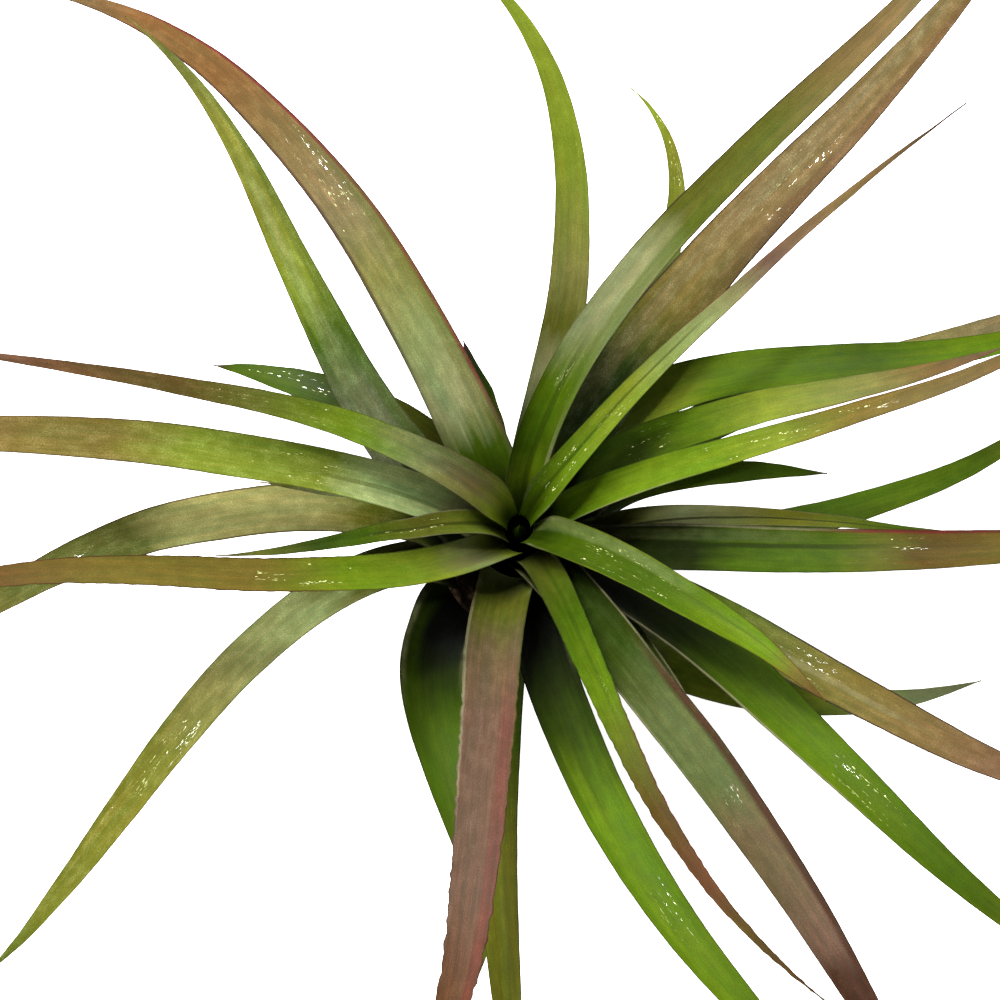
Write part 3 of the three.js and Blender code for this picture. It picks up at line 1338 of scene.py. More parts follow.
# From the lowest leaf on the stump to the heart. Each tone stands at a share of its leaf's length.
LEAVES: tuple[Leaf, ...] = (
    Leaf("outer_leaf_01", LeafShape(-44, 32, 63, 27, -10, 71, 7.5, 1.8, 35),
         green((0.0, T.SHADE_AND_FIBRE_BLACK), (0.2, T.SAGE), (0.3, T.LIME), (0.45, T.LIME), (0.52, T.LEAF), (0.64, T.LIME),
             (0.85, T.SAGE), (1.0, T.SAGE),
             stripes=margins(T.PALE, 0.5)), Relief(crease=0.6, bow=0.5)),
    Leaf("outer_leaf_02", LeafShape(126, 30, 38, 30, -25, 52, 7.8, 1.8, 30),
         green((0.0, T.SHADE_AND_FIBRE_BLACK), (0.5, T.OLIVE), (0.6, T.DEEP), (0.75, T.LEAF), (0.92, T.LEAF), (1.0, T.UMBER),
             rough=0.37, scurf=0.1), wet=(0.6, 0.9), wetness=1.3),
    Leaf("outer_leaf_03", LeafShape(63, 6, 71, 34, -22, 78, 5.7, 1.5, 35),
         green((0.0, T.SHADE_AND_FIBRE_BLACK), (0.5, T.LEAF), (0.8, T.YELLOW_OLIVE), (0.92, T.LIME), (1.0, T.YELLOW_OLIVE),
             rough=0.4), wet=(0.7, 0.95)),
    Leaf("outer_leaf_04", LeafShape(-139, 66, 32, 44, -18, 69, 10.2, 1.9, 35),
         green((0.0, T.SHADE_AND_FIBRE_BLACK), (0.17, T.SHADE_AND_FIBRE_BLACK), (0.25, T.MOSS), (0.34, T.DEEP), (0.44, T.LEAF),
             (0.62, T.LEAF), (0.85, T.OLIVE), (1.0, T.OLIVE),
             stripes=(Stripe(-0.8, 0.5, T.DEEP, 0.7, 0.0, 0.5),), channel=28.0, scurf=0.05),
         Relief(crease=0.1, twist=0.0, sway=0.0, bow=0.4)),
    Leaf("outer_leaf_05", LeafShape(34, -28, -32, 24, -20, 44, 4.8, 2.0, 30),
         green((0.0, T.SHADE_AND_FIBRE_BLACK), (0.4, T.FRESH), (0.7, T.LEAF), (0.9, T.LEAF), (1.0, T.UMBER), scurf=0.1)),
    Leaf("outer_leaf_06", LeafShape(105, -1, 5, 45, 8, 28, 5.4, 1.6, 40),
         green((0.0, T.SHADE_AND_FIBRE_BLACK), (0.4, T.OLIVE), (0.7, T.DEEP), (0.9, T.MOSS), (1.0, T.PLUM))),
    Leaf("outer_leaf_07", LeafShape(-2, 18, 52, 37, -27, 96, 5.6, 1.8, 30),
         green((0.0, T.SHADE_AND_FIBRE_BLACK), (0.35, T.LEAF), (0.55, T.FRESH), (0.7, T.LEAF), (1.0, T.BRASS))),
    Leaf("outer_leaf_08", LeafShape(-174, 45, 32, 42, -32, 108, 6.8, 2.6, 30),
         silver((0.0, T.SHADE_AND_FIBRE_BLACK), (0.2, T.OLIVE), (0.3, T.SILVER), (0.46, T.KHAKI), (0.58, T.YELLOW_OLIVE),
             (0.85, T.YELLOW_OLIVE), (1.0, T.LEAF)), wet=(0.5, 0.75)),
    Leaf("outer_leaf_09", LeafShape(-98, 10, 20, 45, -14, 102, 7.0, 2.1, 35),
         green((0.0, T.SHADE_AND_FIBRE_BLACK), (0.3, T.LEAF), (0.5, T.YELLOW_OLIVE), (0.65, T.YELLOW_OLIVE), (1.0, T.OLIVE),
             stripes=(Stripe(0.0, 0.3, T.LIME, 0.35, 0.3),)), Relief(crease=0.6)),
    Leaf("outer_leaf_10", LeafShape(38, -21, 0, 38, -28, 107, 7.0, 1.5, 30),
         bronze((0.0, T.SHADE_AND_FIBRE_BLACK), (0.4, T.LEAF), (0.55, T.KHAKI), (0.7, T.SAND), (1.0, T.ROSE))),
    Leaf("outer_leaf_11", LeafShape(-20, -11, 20, 43, -23, 108, 7.1, 2.4, 30),
         bronze((0.0, T.SHADE_AND_FIBRE_BLACK), (0.25, T.LEAF), (0.38, T.OLIVE), (0.5, T.BRASS), (0.62, T.TAN),
             (0.75, T.ROSE), (1.0, T.MAUVE),
             stripes=(*margins(T.PLUM, 0.8, 0.35), Stripe(0.0, 0.2, T.PAPER, 0.25, 0.3, 0.6))),
         wet=(0.38, 0.5), wetness=0.35),
    Leaf("outer_leaf_12", LeafShape(167, 28, 49, 42, -18, 96, 7.7, 3.2, 25),
         silver((0.0, T.SHADE_AND_FIBRE_BLACK), (0.1, T.DEEP), (0.22, T.YELLOW_OLIVE), (0.3, T.LIT_STRAW), (0.52, T.LIT_STRAW),
             (0.6, T.OLIVE), (0.8, T.OLIVE), (0.9, T.BRASS), (1.0, T.RUST),
             stripes=margins(T.RUST, 0.7, 0.25)), wet=(0.62, 0.78)),
    # The dark line along the midrib is painted shade in the crease.
    Leaf("middle_leaf_01", LeafShape(10, -15, -10, 44, -16, 67, 4.5, 1.1, 45),
         green((0.0, T.SHADE_AND_FIBRE_BLACK), (0.2, T.OLIVE), (0.35, T.PALE), (0.55, T.YELLOW_OLIVE), (0.85, T.LEAF),
             (1.0, T.MAUVE),
             stripes=(Stripe(-0.1, 0.14, T.MOSS, 0.8, 0.1), *margins(T.PAPER, 0.4))), Relief(crease=0.35)),
    Leaf("middle_leaf_02", LeafShape(-42, -17, -8, 48, -15, 69, 7.0, 1.7, 35),
         green((0.0, T.SHADE_AND_FIBRE_BLACK), (0.18, T.GREY_GREEN), (0.28, T.DEEP), (0.42, T.DEEP), (0.52, T.GREY_GREEN),
             (0.75, T.GREY_GREEN), (1.0, T.DRY),
             stripes=margins(T.PAPER, 0.8, 0.1))),
    Leaf("middle_leaf_03", LeafShape(155, -39, -13, 45, -10, 102, 9.3, 1.15, 35),
         silver((0.0, T.SHADE_AND_FIBRE_BLACK), (0.18, T.MOSS), (0.24, T.SAGE), (0.32, T.SAGE), (0.42, T.LEAF),
             (0.5, T.LIME), (0.62, T.YELLOW_OLIVE), (0.75, T.YELLOW_OLIVE), (0.9, T.OLIVE), (1.0, T.BRASS),
             stripes=(Stripe(0.2, 0.5, T.SILVER, 0.35, 0.3, 0.7), Stripe(-0.8, 0.4, T.LEAF, 0.6, 0.1, 0.8)),
             spots=0.4)),
    # The grey-green band on the upper wall is a painted highlight, and the dark line by the midrib is painted
    # shade in the crease.
    Leaf("middle_leaf_04", LeafShape(-8, 5, 27, 45, -12, 110, 7.2, 2.5, 35),
         green((0.0, T.DRY), (0.06, T.DRY), (0.12, T.MOSS), (0.24, T.MOSS), (0.32, T.LEAF), (0.44, T.LEAF),
             (0.5, T.OLIVE), (0.56, T.BROWN), (0.8, T.BRASS), (0.9, T.BROWN), (1.0, T.UMBER),
             stripes=(Stripe(0.6, 0.3, T.GREY_GREEN, 0.7, 0.1, 0.4),
                      Stripe(0.2, 0.14, T.MOSS, 0.7, 0.1, 0.5), Stripe(1.0, 0.22, T.CRIMSON, 0.85, 0.42),
                      Stripe(1.0, 0.14, T.PAPER, 0.6, 0.1, 0.45))),
         Relief(crease=0.25), wet=(0.5, 0.6), wetness=0.5),
    Leaf("middle_leaf_05", LeafShape(65, -63, 0, 41, -18, 114, 8.2, 1.4, 30),
         green((0.0, T.SHADE_AND_FIBRE_BLACK), (0.13, T.BRIGHT), (0.27, T.LIME), (0.34, T.FRESH), (0.45, T.FRESH),
             (0.55, T.LEAF), (0.65, T.FRESH), (0.8, T.FRESH), (1.0, T.OLIVE),
             scurf=0.08, rough=0.45, channel=9.0)),
    Leaf("middle_leaf_06", LeafShape(-82, 21, 52, 47, -15, 114, 8.2, 2.1, 35),
         green((0.0, T.SHADE_AND_FIBRE_BLACK), (0.15, T.SHADE_AND_FIBRE_BLACK), (0.24, T.MOSS), (0.32, T.DEEP), (0.45, T.FRESH),
             (0.7, T.FRESH), (1.0, T.OLIVE),
             stripes=(Stripe(-0.5, 0.3, T.BRIGHT, 0.4, 0.35),), scurf=0.08, channel=30.0),
         wet=(0.54, 0.66), wetness=0.25),
    Leaf("middle_leaf_07", LeafShape(116, 13, 47, 40, -37, 130, 9.4, 1.6, 25),
         silver((0.0, T.SHADE_AND_FIBRE_BLACK), (0.05, T.LEAF), (0.1, T.LEAF), (0.16, T.PALE), (0.25, T.SILVER),
             (0.33, T.KHAKI), (0.42, T.SAND), (0.54, T.TAN), (0.63, T.COPPER), (0.78, T.COPPER),
             (1.0, T.DRY),
             stripes=(Stripe(-1.0, 0.22, T.CRIMSON, 0.9, 0.12, 0.8), Stripe(1.0, 0.18, T.PLUM, 0.7, 0.2),
                      Stripe(-0.7, 0.3, T.OLIVE, 0.5, 0.12, 0.5)), scurf=0.35),
         wet=(0.38, 0.56), wetness=0.4),
    Leaf("middle_leaf_08", LeafShape(-24, -24, 4, 44, -17, 118, 9.0, 1.6, 35),
         green((0.0, T.SHADE_AND_FIBRE_BLACK), (0.15, T.SHADE_AND_FIBRE_BLACK), (0.28, T.MOSS), (0.38, T.LEAF), (0.5, T.FRESH),
             (0.75, T.LEAF), (1.0, T.OLIVE),
             stripes=(Stripe(-1.0, 0.12, T.PAPER, 0.7, 0.15, 0.6),), scurf=0.08, channel=30.0),
         Relief(bow=-0.5), wet=(0.52, 0.66), wetness=0.35),
    Leaf("middle_leaf_09", LeafShape(60, -15, 1, 45, -14, 132, 10.1, 1.8, 20),
         bronze((0.0, T.MOSS), (0.15, T.MOSS), (0.23, T.DEEP), (0.27, T.OLIVE), (0.32, T.BRASS),
             (0.45, T.TAN), (0.65, T.TAN), (1.0, T.TAN),
             stripes=(*margins(T.PLUM, 0.8, 0.25, wide=0.07), Stripe(0.45, 0.4, T.SAND, 0.5, 0.2, 0.9),
                      Stripe(-0.75, 0.35, T.RUST, 0.5, 0.4)), scurf=0.5), wet=(0.44, 0.6), wetness=0.15),
    Leaf("middle_leaf_10", LeafShape(-104, 9, -20, 58, -12, 114, 8.4, 2.3, 25),
         bronze((0.0, T.GREY_GREEN), (0.1, T.OLIVE), (0.16, T.OLIVE), (0.24, T.DRY), (0.36, T.MAUVE),
             (0.6, T.MAUVE), (0.75, T.RUST), (1.0, T.RUST),
             stripes=(Stripe(0.75, 0.45, T.CRIMSON, 0.34, 0.3), Stripe(-1.0, 0.14, T.PAPER, 0.7, 0.1, 0.5),
                      Stripe(1.0, 0.1, T.OLIVE, 0.6, 0.1, 0.5)), scurf=0.22),
         Relief(wave=0.42, wave_length=3.2, bow=-0.35)),
    Leaf("middle_leaf_11", LeafShape(163, 14, 5, 50, -11, 42, 5.0, 0.8, 45),
         silver((0.0, T.SHADE_AND_FIBRE_BLACK), (0.2, T.LEAF), (0.35, T.SILVER), (0.5, T.LIT_PALE_GREEN), (0.7, T.PALE),
             (0.88, T.OLIVE), (1.0, T.BRASS))),
    Leaf("middle_leaf_12", LeafShape(41, -31, -17, 52, -10, 82, 6.0, 2.3, 30),
         green((0.0, T.SHADE_AND_FIBRE_BLACK), (0.3, T.DEEP), (0.42, T.FRESH), (0.55, T.LIME), (0.75, T.KHAKI),
             (0.84, T.TAN), (1.0, T.MAUVE),
             stripes=(Stripe(-1.0, 0.14, T.RUST, 0.6, 0.6),)),
         Relief(crease=0.2), wet=(0.2, 0.4), wetness=0.7),
    Leaf("inner_leaf_01", LeafShape(168, 10, 14, 54, -8, 119, 6.6, 4.0, 30),
         silver((0.0, T.SHADE_AND_FIBRE_BLACK), (0.06, T.LEAF), (0.1, T.PALE), (0.14, T.LIT_PALE_GREEN), (0.24, T.LIT_PALE_GREEN),
             (0.31, T.LIME), (0.48, T.LIME), (0.58, T.BRASS), (0.67, T.BRASS), (0.78, T.COPPER),
             (1.0, T.RUST),
             stripes=(Stripe(0.1, 0.12, T.LEAF, 0.5, 0.1, 0.35), *margins(T.RUST, 0.5, 0.45)), channel=7.0),
         Relief(crease=0.4), wet=(0.25, 0.42)),
    Leaf("inner_leaf_02", LeafShape(-58, 1, -8, 51, -11, 118, 7.7, 3.0, 40),
         bronze((0.0, T.SHADE_AND_FIBRE_BLACK), (0.12, T.MOSS), (0.28, T.DEEP), (0.38, T.GREY_GREEN), (0.5, T.GREY_GREEN),
             (0.58, T.DRY), (0.64, T.DRY), (0.72, T.MAUVE), (0.78, T.UMBER), (1.0, T.UMBER),
             stripes=(*margins(T.PAPER, 0.7, 0.05, 0.5), Stripe(1.0, 0.45, T.UMBER, 0.95, 0.3)),
             scurf=0.2, spots=0.6), wet=(0.5, 0.58), wetness=0.2),
    Leaf("inner_leaf_03", LeafShape(80, 5, 73, 62, 14, 98, 6.4, 2.2, 30),
         green((0.0, T.SHADE_AND_FIBRE_BLACK), (0.12, T.SAGE), (0.3, T.PALE), (0.38, T.OLIVE), (0.48, T.KHAKI),
             (0.65, T.LIME), (0.9, T.LIME), (1.0, T.YELLOW_OLIVE)), wet=(0.62, 0.7), wetness=0.3),
    # The faint deep green line by the midrib is painted shade in the crease.
    Leaf("inner_leaf_04", LeafShape(-63, -5, 29, 57, -4, 97, 5.1, 1.4, 40),
         green((0.0, T.SHADE_AND_FIBRE_BLACK), (0.08, T.OLIVE), (0.26, T.LEAF), (0.42, T.FRESH), (0.56, T.OLIVE),
             (0.64, T.BROWN), (0.75, T.RUST), (0.85, T.BROWN), (1.0, T.UMBER),
             stripes=(Stripe(0.15, 0.15, T.DEEP, 0.3, 0.05, 0.5), Stripe(1.0, 0.16, T.CRIMSON, 0.6, 0.45))),
         Relief(wave=0.24, wave_length=3.0, crease=0.2), wet=(0.38, 0.48), wetness=0.7),
    Leaf("inner_leaf_05", LeafShape(17, -5, 25, 52, -4, 108, 4.8, 1.5, 35),
         green((0.0, T.SHADE_AND_FIBRE_BLACK), (0.08, T.FRESH), (0.22, T.BRIGHT), (0.34, T.BRIGHT), (0.44, T.LIME),
             (0.54, T.BRASS), (0.7, T.TAN), (1.0, T.RUST),
             stripes=(Stripe(-1.0, 0.16, T.PALE, 0.6, 0.08, 0.3), *margins(T.CRIMSON, 0.6, 0.45)),
             scurf=0.15), Relief(crease=0.25), wet=(0.3, 0.62), wetness=1.2),
    Leaf("inner_leaf_06", LeafShape(-136, -42, -4, 48, -2, 118, 5.3, 2.4, 30),
         green((0.0, T.OLIVE), (0.04, T.LIME), (0.1, T.SILVER), (0.17, T.LIME), (0.3, T.BRIGHT),
             (0.42, T.BRASS), (0.6, T.BRASS), (0.8, T.RUST), (1.0, T.UMBER),
             stripes=(*margins(T.RUST, 0.8, 0.32), Stripe(0.2, 0.5, T.MAUVE, 0.55, 0.06, 0.16))),
         Relief(wave=0.14, wave_length=3.0), wet=(0.28, 0.46), wetness=3.2),
    Leaf("inner_leaf_07", LeafShape(84, -43, -21, 61, -1, 132, 5.8, 2.7, 35),
         green((0.0, T.DEEP), (0.06, T.BRIGHT), (0.13, T.LEAF), (0.22, T.FRESH), (0.31, T.PALE),
             (0.4, T.PALE), (0.47, T.OLIVE), (0.6, T.OLIVE), (0.7, T.TAN), (1.0, T.SAND),
             stripes=(*margins(T.PLUM, 0.6, 0.4), Stripe(0.0, 0.2, T.DEEP, 0.6, 0.0, 0.3),
                      Stripe(-0.85, 0.2, T.PALE, 0.6, 0.04, 0.2),
                      Stripe(-0.6, 0.5, T.LEAF, 0.6, 0.15, 0.5))),
         Relief(crease=0.3), wet=(0.2, 0.3), wetness=0.3),
    # The dark line along the midrib is painted shade in the crease.
    Leaf("inner_leaf_08", LeafShape(-173, 10, -6, 58, 0, 54, 3.8, 1.5, 55),
         silver((0.0, T.YELLOW_OLIVE), (0.12, T.LIME), (0.4, T.OLIVE), (0.6, T.LEAF), (0.75, T.DEEP),
             (0.88, T.OLIVE), (1.0, T.UMBER),
             stripes=(Stripe(0.0, 0.2, T.MOSS, 0.6, 0.0, 0.6), *margins(T.PAPER, 0.6, 0.0, 0.5)),
             scurf=0.2), Relief(crease=0.6), wet=(0.3, 0.6), wetness=0.8),
    # The silver band on the upper wall is a painted highlight.
    Leaf("inner_leaf_09", LeafShape(-34, 0, -9, 57, -2, 63, 5.8, 3.0, 45),
         green((0.0, T.LEAF), (0.25, T.LEAF), (0.5, T.LEAF), (0.66, T.FRESH), (0.84, T.BRIGHT),
             (0.92, T.BRASS), (1.0, T.RUST),
             stripes=(Stripe(0.65, 0.4, T.SILVER, 0.4, 0.0, 0.6),
                      Stripe(0.25, 0.12, T.LEAF, 0.5, 0.05, 0.9), *margins(T.LIME, 0.6, 0.1, 0.7),
                      *margins(T.CRIMSON, 0.6, 0.78)), scurf=0.12),
         Relief(crease=0.3), wet=(0.25, 0.6), wetness=0.5),
    Leaf("inner_leaf_10", LeafShape(148, 24, 20, 52, -4, 104, 5.9, 1.0, 35),
         bronze((0.0, T.FRESH), (0.07, T.LIME), (0.13, T.KHAKI), (0.24, T.SILVER), (0.34, T.BRIGHT),
             (0.5, T.OLIVE), (0.6, T.BROWN), (0.67, T.BROWN), (0.8, T.RUST), (1.0, T.MAUVE),
             stripes=(*margins(T.RUST, 0.7, 0.5), Stripe(-0.1, 0.5, T.MAUVE, 0.5, 0.06, 0.24)),
             channel=7.0), wet=(0.35, 0.6), wetness=0.6),
    # The dark line by the midrib is painted shade in the crease.
    Leaf("inner_leaf_11", LeafShape(43, -3, -6, 56, -2, 96, 4.6, 1.0, 50),
         green((0.0, T.LEAF), (0.1, T.FRESH), (0.2, T.BRIGHT), (0.34, T.LIME), (0.5, T.SILVER),
             (0.62, T.MAUVE), (0.78, T.TAN), (1.0, T.PLUM),
             stripes=(Stripe(0.1, 0.14, T.DEEP, 0.6, 0.05, 0.5), *margins(T.CRIMSON, 0.7, 0.42)),
             scurf=0.15), Relief(crease=0.6), wet=(0.08, 0.36), wetness=1.2),
)


@dataclass
class Rosette:
    """All the leaves, each grown in the place of its own node.

    Nowhere is a dry leaf's wet stretch, which lies beyond its tip.
    """

    stump: Stump
    seeds_apart: float = 37.0
    beads_per_square_mm: float = 1.8
    nowhere: tuple[float, float] = (2.0, 3.0)
    tree: BladeTree = field(default_factory=BladeTree)

    def _sizes(self, leaf: Leaf, rank: float, seed: float) -> dict[str, float]:
        """A leaf's sizes for the tree, in degrees and metres.

        Args:
            leaf: the leaf.
            rank: how far up the stump it stands, from 0 to 1.
            seed: which stretch of every pattern it has.

        Returns:
            A number for each of the tree's named sizes.
        """
        shape = leaf.shape
        relief = leaf.relief
        height = ROOT_HEIGHT.at(rank)
        thickness = ROOT_THICKNESS.at(rank)
        radius = self.stump.radius(height) + SEAT_GAP + thickness / 2
        root_width = min(shape.width * ROOT_FLARE.at(rank), 2 * WIDEST_CLASP * radius)
        start, end = leaf.wet or self.nowhere
        plain = {
            "Azimuth": shape.azimuth, "Mid Turn": shape.mid_turn, "Tip Turn": shape.tip_turn,
            "Rise": shape.rise, "Droop": shape.droop, "Fullness": shape.fullness, "Cup": shape.cup,
            "Root Pitch": ROOT_PITCH.at(rank), "Neck Arc": NECK_ARC.at(rank), "Crease": relief.crease,
            "Twist": relief.twist, "Seed": seed, "Bead Start": start, "Bead End": end,
            "Bead Density": self.beads_per_square_mm / MM ** 2 * leaf.wetness,
        }
        lengths = {
            "Length": shape.length, "Width": shape.width, "Root Height": height, "Root Radius": radius,
            "Sheath Length": SHEATH_LENGTH.at(rank), "Root Thickness": thickness, "Root Width": root_width,
            "Wave": relief.wave, "Wave Length": relief.wave_length, "Sway": relief.sway, "Bow": relief.bow,
        }
        return {**plain, **{name: length * MM for name, length in lengths.items()}}

    def build(self) -> None:
        """Grows every leaf and puts it in the place of its node."""
        for place, leaf in enumerate(LEAVES):
            rank = place / (len(LEAVES) - 1)
            seed = place * self.seeds_apart
            sizes = self._sizes(leaf, rank, seed)
            rows = round(leaf.shape.length * BladeTree.ROWS_PER_MM)
            material = leaf.finish.material(leaf.node + " tissue", seed, leaf.wet)
            blade = self.tree.grow(leaf.node + "_blade", sizes, rows, material)
            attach(blade, BODY)
            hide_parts(leaf.node)
            LOG.info("%s: %d faces", blade.name, len(blade.data.polygons))


# --- Stump --------------------------------------------------------------------------------------------


@dataclass(frozen=True)
class BarkFinish:
    """Dry brown bark, with darker fibres and paler flakes. Patterns are in cells to a metre."""

    fibres_round: float = 900.0
    fibres_up: float = 160.0
    fibre_detail: float = 5.0
    fibre_share: float = 0.7
    flakes: float = 420.0
    flake_detail: float = 4.0
    flake_share: float = 0.3
    flake_height: float = 0.5
    tones: tuple[tuple[float, Tone], ...] = ((0.25, Tone.SHADE_AND_FIBRE_BLACK), (0.5, Tone.BARK), (0.75, Tone.DRY))
    # Painted shade: the heights over which the bark darkens to near black under the leaves.
    leaf_shade: tuple[float, ...] = (10.0 * MM, 18.0 * MM, 1.0, 0.01)
    bud: tuple[float, ...] = (31.0 * MM, 37.0 * MM)
    relief_strength: float = 0.8
    relief_distance: float = 0.4 * MM
    roughness: float = 0.85

    def material(self) -> bpy.types.Material:
        """The finish as a material: darkened to near black as painted shade where the leaves cover it, and
        green at the bud.

        Returns:
            The material.
        """
        made, graph = blank_material("bark")
        place = graph.add("ShaderNodeTexCoord", {}, {}, "Object")
        height = place.part("Z")
        tall = graph.vector(place.part("X") * self.fibres_round, place.part("Y") * self.fibres_round,
                            height * self.fibres_up)
        fibres = graph.noise(tall, self.fibre_detail)
        flakes = graph.noise(place, self.flake_detail, scale=self.flakes)
        stops = [(level, linear(tone)) for level, tone in self.tones]
        level = fibres * self.fibre_share + flakes * self.flake_share
        colour = graph.add("ShaderNodeValToRGB", {"stops": stops}, {"Fac": level}, "Color")
        # Painted shade under the leaves.
        dark = height.ramp(*self.leaf_shade)
        colour = graph.tint(colour, graph.vector(dark, dark, dark))
        colour = graph.mix(height.ramp(*self.bud), colour, linear(Tone.LEAF))
        inputs = {
            "Strength": self.relief_strength, "Distance": self.relief_distance,
            "Height": fibres + flakes * self.flake_height,
        }
        normal = graph.add("ShaderNodeBump", {}, inputs, "Normal")
        graph.surface({
            "Base Color": colour, "Roughness": self.roughness, "Normal": normal, "Specular IOR Level": 0.0,
        })
        return made


@dataclass
class Bark:
    """The stump's dry bark: a turned surface with scars in slanting rows and fibres up it.

    Lengths are millimetres. The rows of scars are set in radians, and the noise that slants them in cells
    to a radius round the stump and to a millimetre up it. The fibres' noise is in cells to a millimetre.
    """

    stump: Stump
    finish: BarkFinish = BarkFinish()
    swell: float = 0.25
    rings: int = 150
    around: int = 120
    underside: tuple[float, ...] = (0.3, 0.6, 0.9, 1.0)
    point_length: float = 20.0
    point_ease: float = 0.9
    full_relief_radius: float = 20.0
    scar_depth: float = 0.35
    scar_pitch: float = 1.1
    scar_slant: float = 2.0
    scar_cells_round: float = 1.5
    scar_cells_up: float = 0.15
    scar_sharpness: float = 0.6
    scar_mean: float = 0.8
    fibre_depth: float = 0.16
    fibre_cells_round: float = 1.3
    fibre_cells_up: float = 0.35

    def build(self) -> bpy.types.Object:
        """Makes the stump's piece.

        Returns:
            The piece, in the place of the stem's node.
        """
        mesh = bpy.data.meshes.new("stump")
        profile = self._profile()
        mesh.from_pydata([tuple(point) for point in self._points(profile)], [], self._faces(len(profile)))
        mesh.polygons.foreach_set("use_smooth", [True] * len(mesh.polygons))
        mesh.update()
        piece = stand("stump", mesh)
        mesh.materials.append(self.finish.material())
        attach(piece, BODY)
        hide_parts("stem")
        LOG.info("stump: %d faces", len(mesh.polygons))
        return piece

    def _profile(self) -> list[tuple[float, float]]:
        """The outline that the bark is turned from.

        Returns:
            Radius and height, from near the middle of the underside up to the point at the heart.
        """
        stump = self.stump
        rim = [(stump.base_radius * share, 0.0) for share in self.underside]
        flank = []
        for row in range(1, self.rings + 1):
            height = stump.tip_height * row / (self.rings + 1)
            closing = min(1.0, (stump.tip_height - height) / self.point_length) ** self.point_ease
            flank.append(((stump.radius(height) + self.swell) * closing, height))
        return rim + flank

    def _points(self, profile: list[tuple[float, float]]) -> list[Vector]:
        """The points of the turned surface.

        Args:
            profile: the radius and height of each ring.

        Returns:
            The rings' points from the lowest, then the middles of the lowest and the highest, in metres.
        """
        points: list[Vector] = []
        for radius, height in profile:
            for i in range(self.around):
                angle = math.tau * i / self.around
                reach = radius + self._relief(angle, radius, height)
                points.append(Vector((reach * math.cos(angle), reach * math.sin(angle), height)) * MM)
        return points + [Vector((0, 0, profile[0][1])) * MM, Vector((0, 0, profile[-1][1])) * MM]

    def _faces(self, rings: int) -> list[tuple[int, ...]]:
        """The faces between the rings, and the fans that close the two ends.

        Args:
            rings: how many rings there are.

        Returns:
            The places of each face's points.
        """
        around = self.around
        faces: list[tuple[int, ...]] = [
            (row * around + i, row * around + (i + 1) % around,
             (row + 1) * around + (i + 1) % around, (row + 1) * around + i)
            for row in range(rings - 1) for i in range(around)
        ]
        bottom = rings * around
        last = bottom - around
        for i in range(around):
            after = (i + 1) % around
            faces.append((bottom, after, i))
            faces.append((bottom + 1, last + i, last + after))
        return faces

    def _relief(self, angle: float, radius: float, height: float) -> float:
        """How far the bark stands out at a place: scars in slanting rows, and fibres up the stump.

        Args:
            angle: the place's side of the stump, in radians.
            radius: the plain radius there.
            height: its height.

        Returns:
            The millimetres beyond the plain radius.
        """
        if height <= 0.0:
            return 0.0
        x, y = math.cos(angle), math.sin(angle)
        cells = self.scar_cells_round
        slant = noise.noise(Vector((x * cells, y * cells, height * self.scar_cells_up)))
        scar = abs(math.sin(height * self.scar_pitch + self.scar_slant * slant))
        cells = self.fibre_cells_round
        fibre = noise.noise(Vector((x * radius * cells, y * radius * cells, height * self.fibre_cells_up)))
        scarring = self.scar_depth * (scar ** self.scar_sharpness - self.scar_mean)
        return min(1.0, radius / self.full_relief_radius) * (scarring + self.fibre_depth * fibre)


# --- Studio -------------------------------------------------------------------------------------------


@dataclass(frozen=True)
class FloorPaint:
    """Plain pale paint with a little light of its own, so that the floor is even."""

    tone: float = 0.92
    glow: float = 0.8
    roughness: float = 0.9

    def material(self) -> bpy.types.Material:
        """The paint as a material.

        Returns:
            The material.
        """
        made, graph = blank_material("floor paint")
        graph.surface({
            "Base Color": (self.tone, self.tone, self.tone, 1.0), "Roughness": self.roughness,
            "Emission Color": (1.0, 1.0, 1.0, 1.0), "Emission Strength": self.glow,
        })
        return made


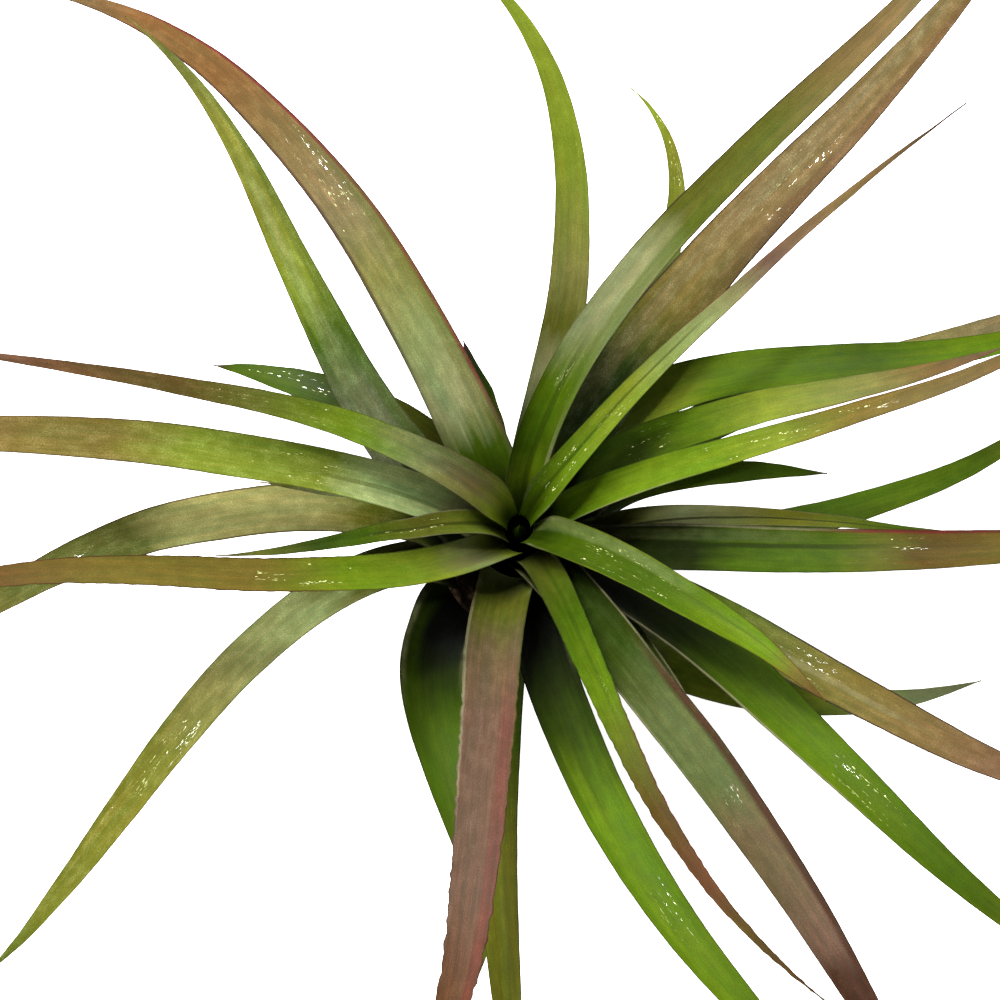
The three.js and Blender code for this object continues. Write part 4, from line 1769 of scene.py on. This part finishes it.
@dataclass
class Studio:
    """A pale floor, soft light from the upper left, and the camera that looks steeply down at the rosette.

    Metres and degrees; the lens and the sensor are millimetres.
    """

    floor_size: float = 12.0
    floor_paint: FloorPaint = FloorPaint()
    sky: float = 0.4
    key_place: tuple[float, float, float] = (-0.35, 0.35, 1.1)
    key_size: float = 0.6
    key_watts: float = 34.0
    glint_place: tuple[float, float, float] = (-0.25, 0.25, 1.3)
    glint_size: float = 0.12
    glint_watts: float = 12.0
    camera_elevation: float = 78.0
    camera_distance: float = 0.42
    nearest: float = 0.01
    heart: tuple[float, float, float] = (0.0, 0.0, 0.04)
    heart_right: float = 0.0030
    heart_down: float = 0.0033
    lens: float = 100.8
    sensor: float = 36.0

    def build(self) -> None:
        """Makes the floor, the lights and the camera."""
        self._floor()
        self._sky()
        self._lamp("key light", self.key_place, self.key_size, self.key_watts)
        self._lamp("glint light", self.glint_place, self.glint_size, self.glint_watts)
        self._camera()
        bpy.context.scene.view_settings.view_transform = "Standard"
        LOG.info("studio: floor, sky, two lights and the camera")

    def _floor(self) -> None:
        """The plain pale floor under the plant."""
        half = self.floor_size / 2
        mesh = bpy.data.meshes.new("floor")
        square = [(-half, -half, 0.0), (half, -half, 0.0), (half, half, 0.0), (-half, half, 0.0)]
        mesh.from_pydata(square, [], [(0, 1, 2, 3)])
        mesh.materials.append(self.floor_paint.material())
        floor = stand("floor", mesh)

    def _sky(self) -> None:
        """Even white light from all round."""
        world = bpy.data.worlds.new("studio")
        world.use_nodes = True
        backdrop = world.node_tree.nodes["Background"]
        backdrop.inputs["Color"].default_value = (1.0, 1.0, 1.0, 1.0)
        backdrop.inputs["Strength"].default_value = self.sky
        bpy.context.scene.world = world

    def _lamp(self, name: str, place: tuple[float, float, float], size: float, watts: float) -> None:
        """A round light that faces the heart of the plant.

        Args:
            name: the light's name.
            place: where it stands.
            size: its diameter.
            watts: its power.
        """
        light = bpy.data.lights.new(name, "AREA")
        light.shape = "DISK"
        light.size = size
        light.energy = watts
        holder = stand(name, light)
        holder.location = place
        holder.rotation_euler = (Vector(place) - Vector(self.heart)).to_track_quat("Z", "Y").to_euler()

    def _camera(self) -> None:
        """The camera at the photograph's angle, with the heart just right of and below the middle."""
        tilt = math.radians(self.camera_elevation)
        back = Vector((0.0, -math.cos(tilt), math.sin(tilt)))
        up = Vector((0.0, math.sin(tilt), math.cos(tilt)))
        right = Vector((1.0, 0.0, 0.0))
        target = Vector(self.heart) - self.heart_right * right + self.heart_down * up
        camera = bpy.data.cameras.new("camera")
        camera.lens = self.lens
        camera.sensor_width = self.sensor
        camera.clip_start = self.nearest
        holder = stand("camera", camera)
        turn = Matrix((right, up, back)).transposed().to_4x4()
        holder.matrix_world = Matrix.Translation(target + back * self.camera_distance) @ turn
        bpy.context.scene.camera = holder


def main() -> None:
    """Builds the studio, the stump and the rosette."""
    logging.basicConfig(level=logging.INFO, format="%(name)s %(message)s")
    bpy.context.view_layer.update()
    Studio().build()
    stump = Stump()
    Bark(stump).build()
    Rosette(stump).build()


if __name__ == "__main__":
    main()
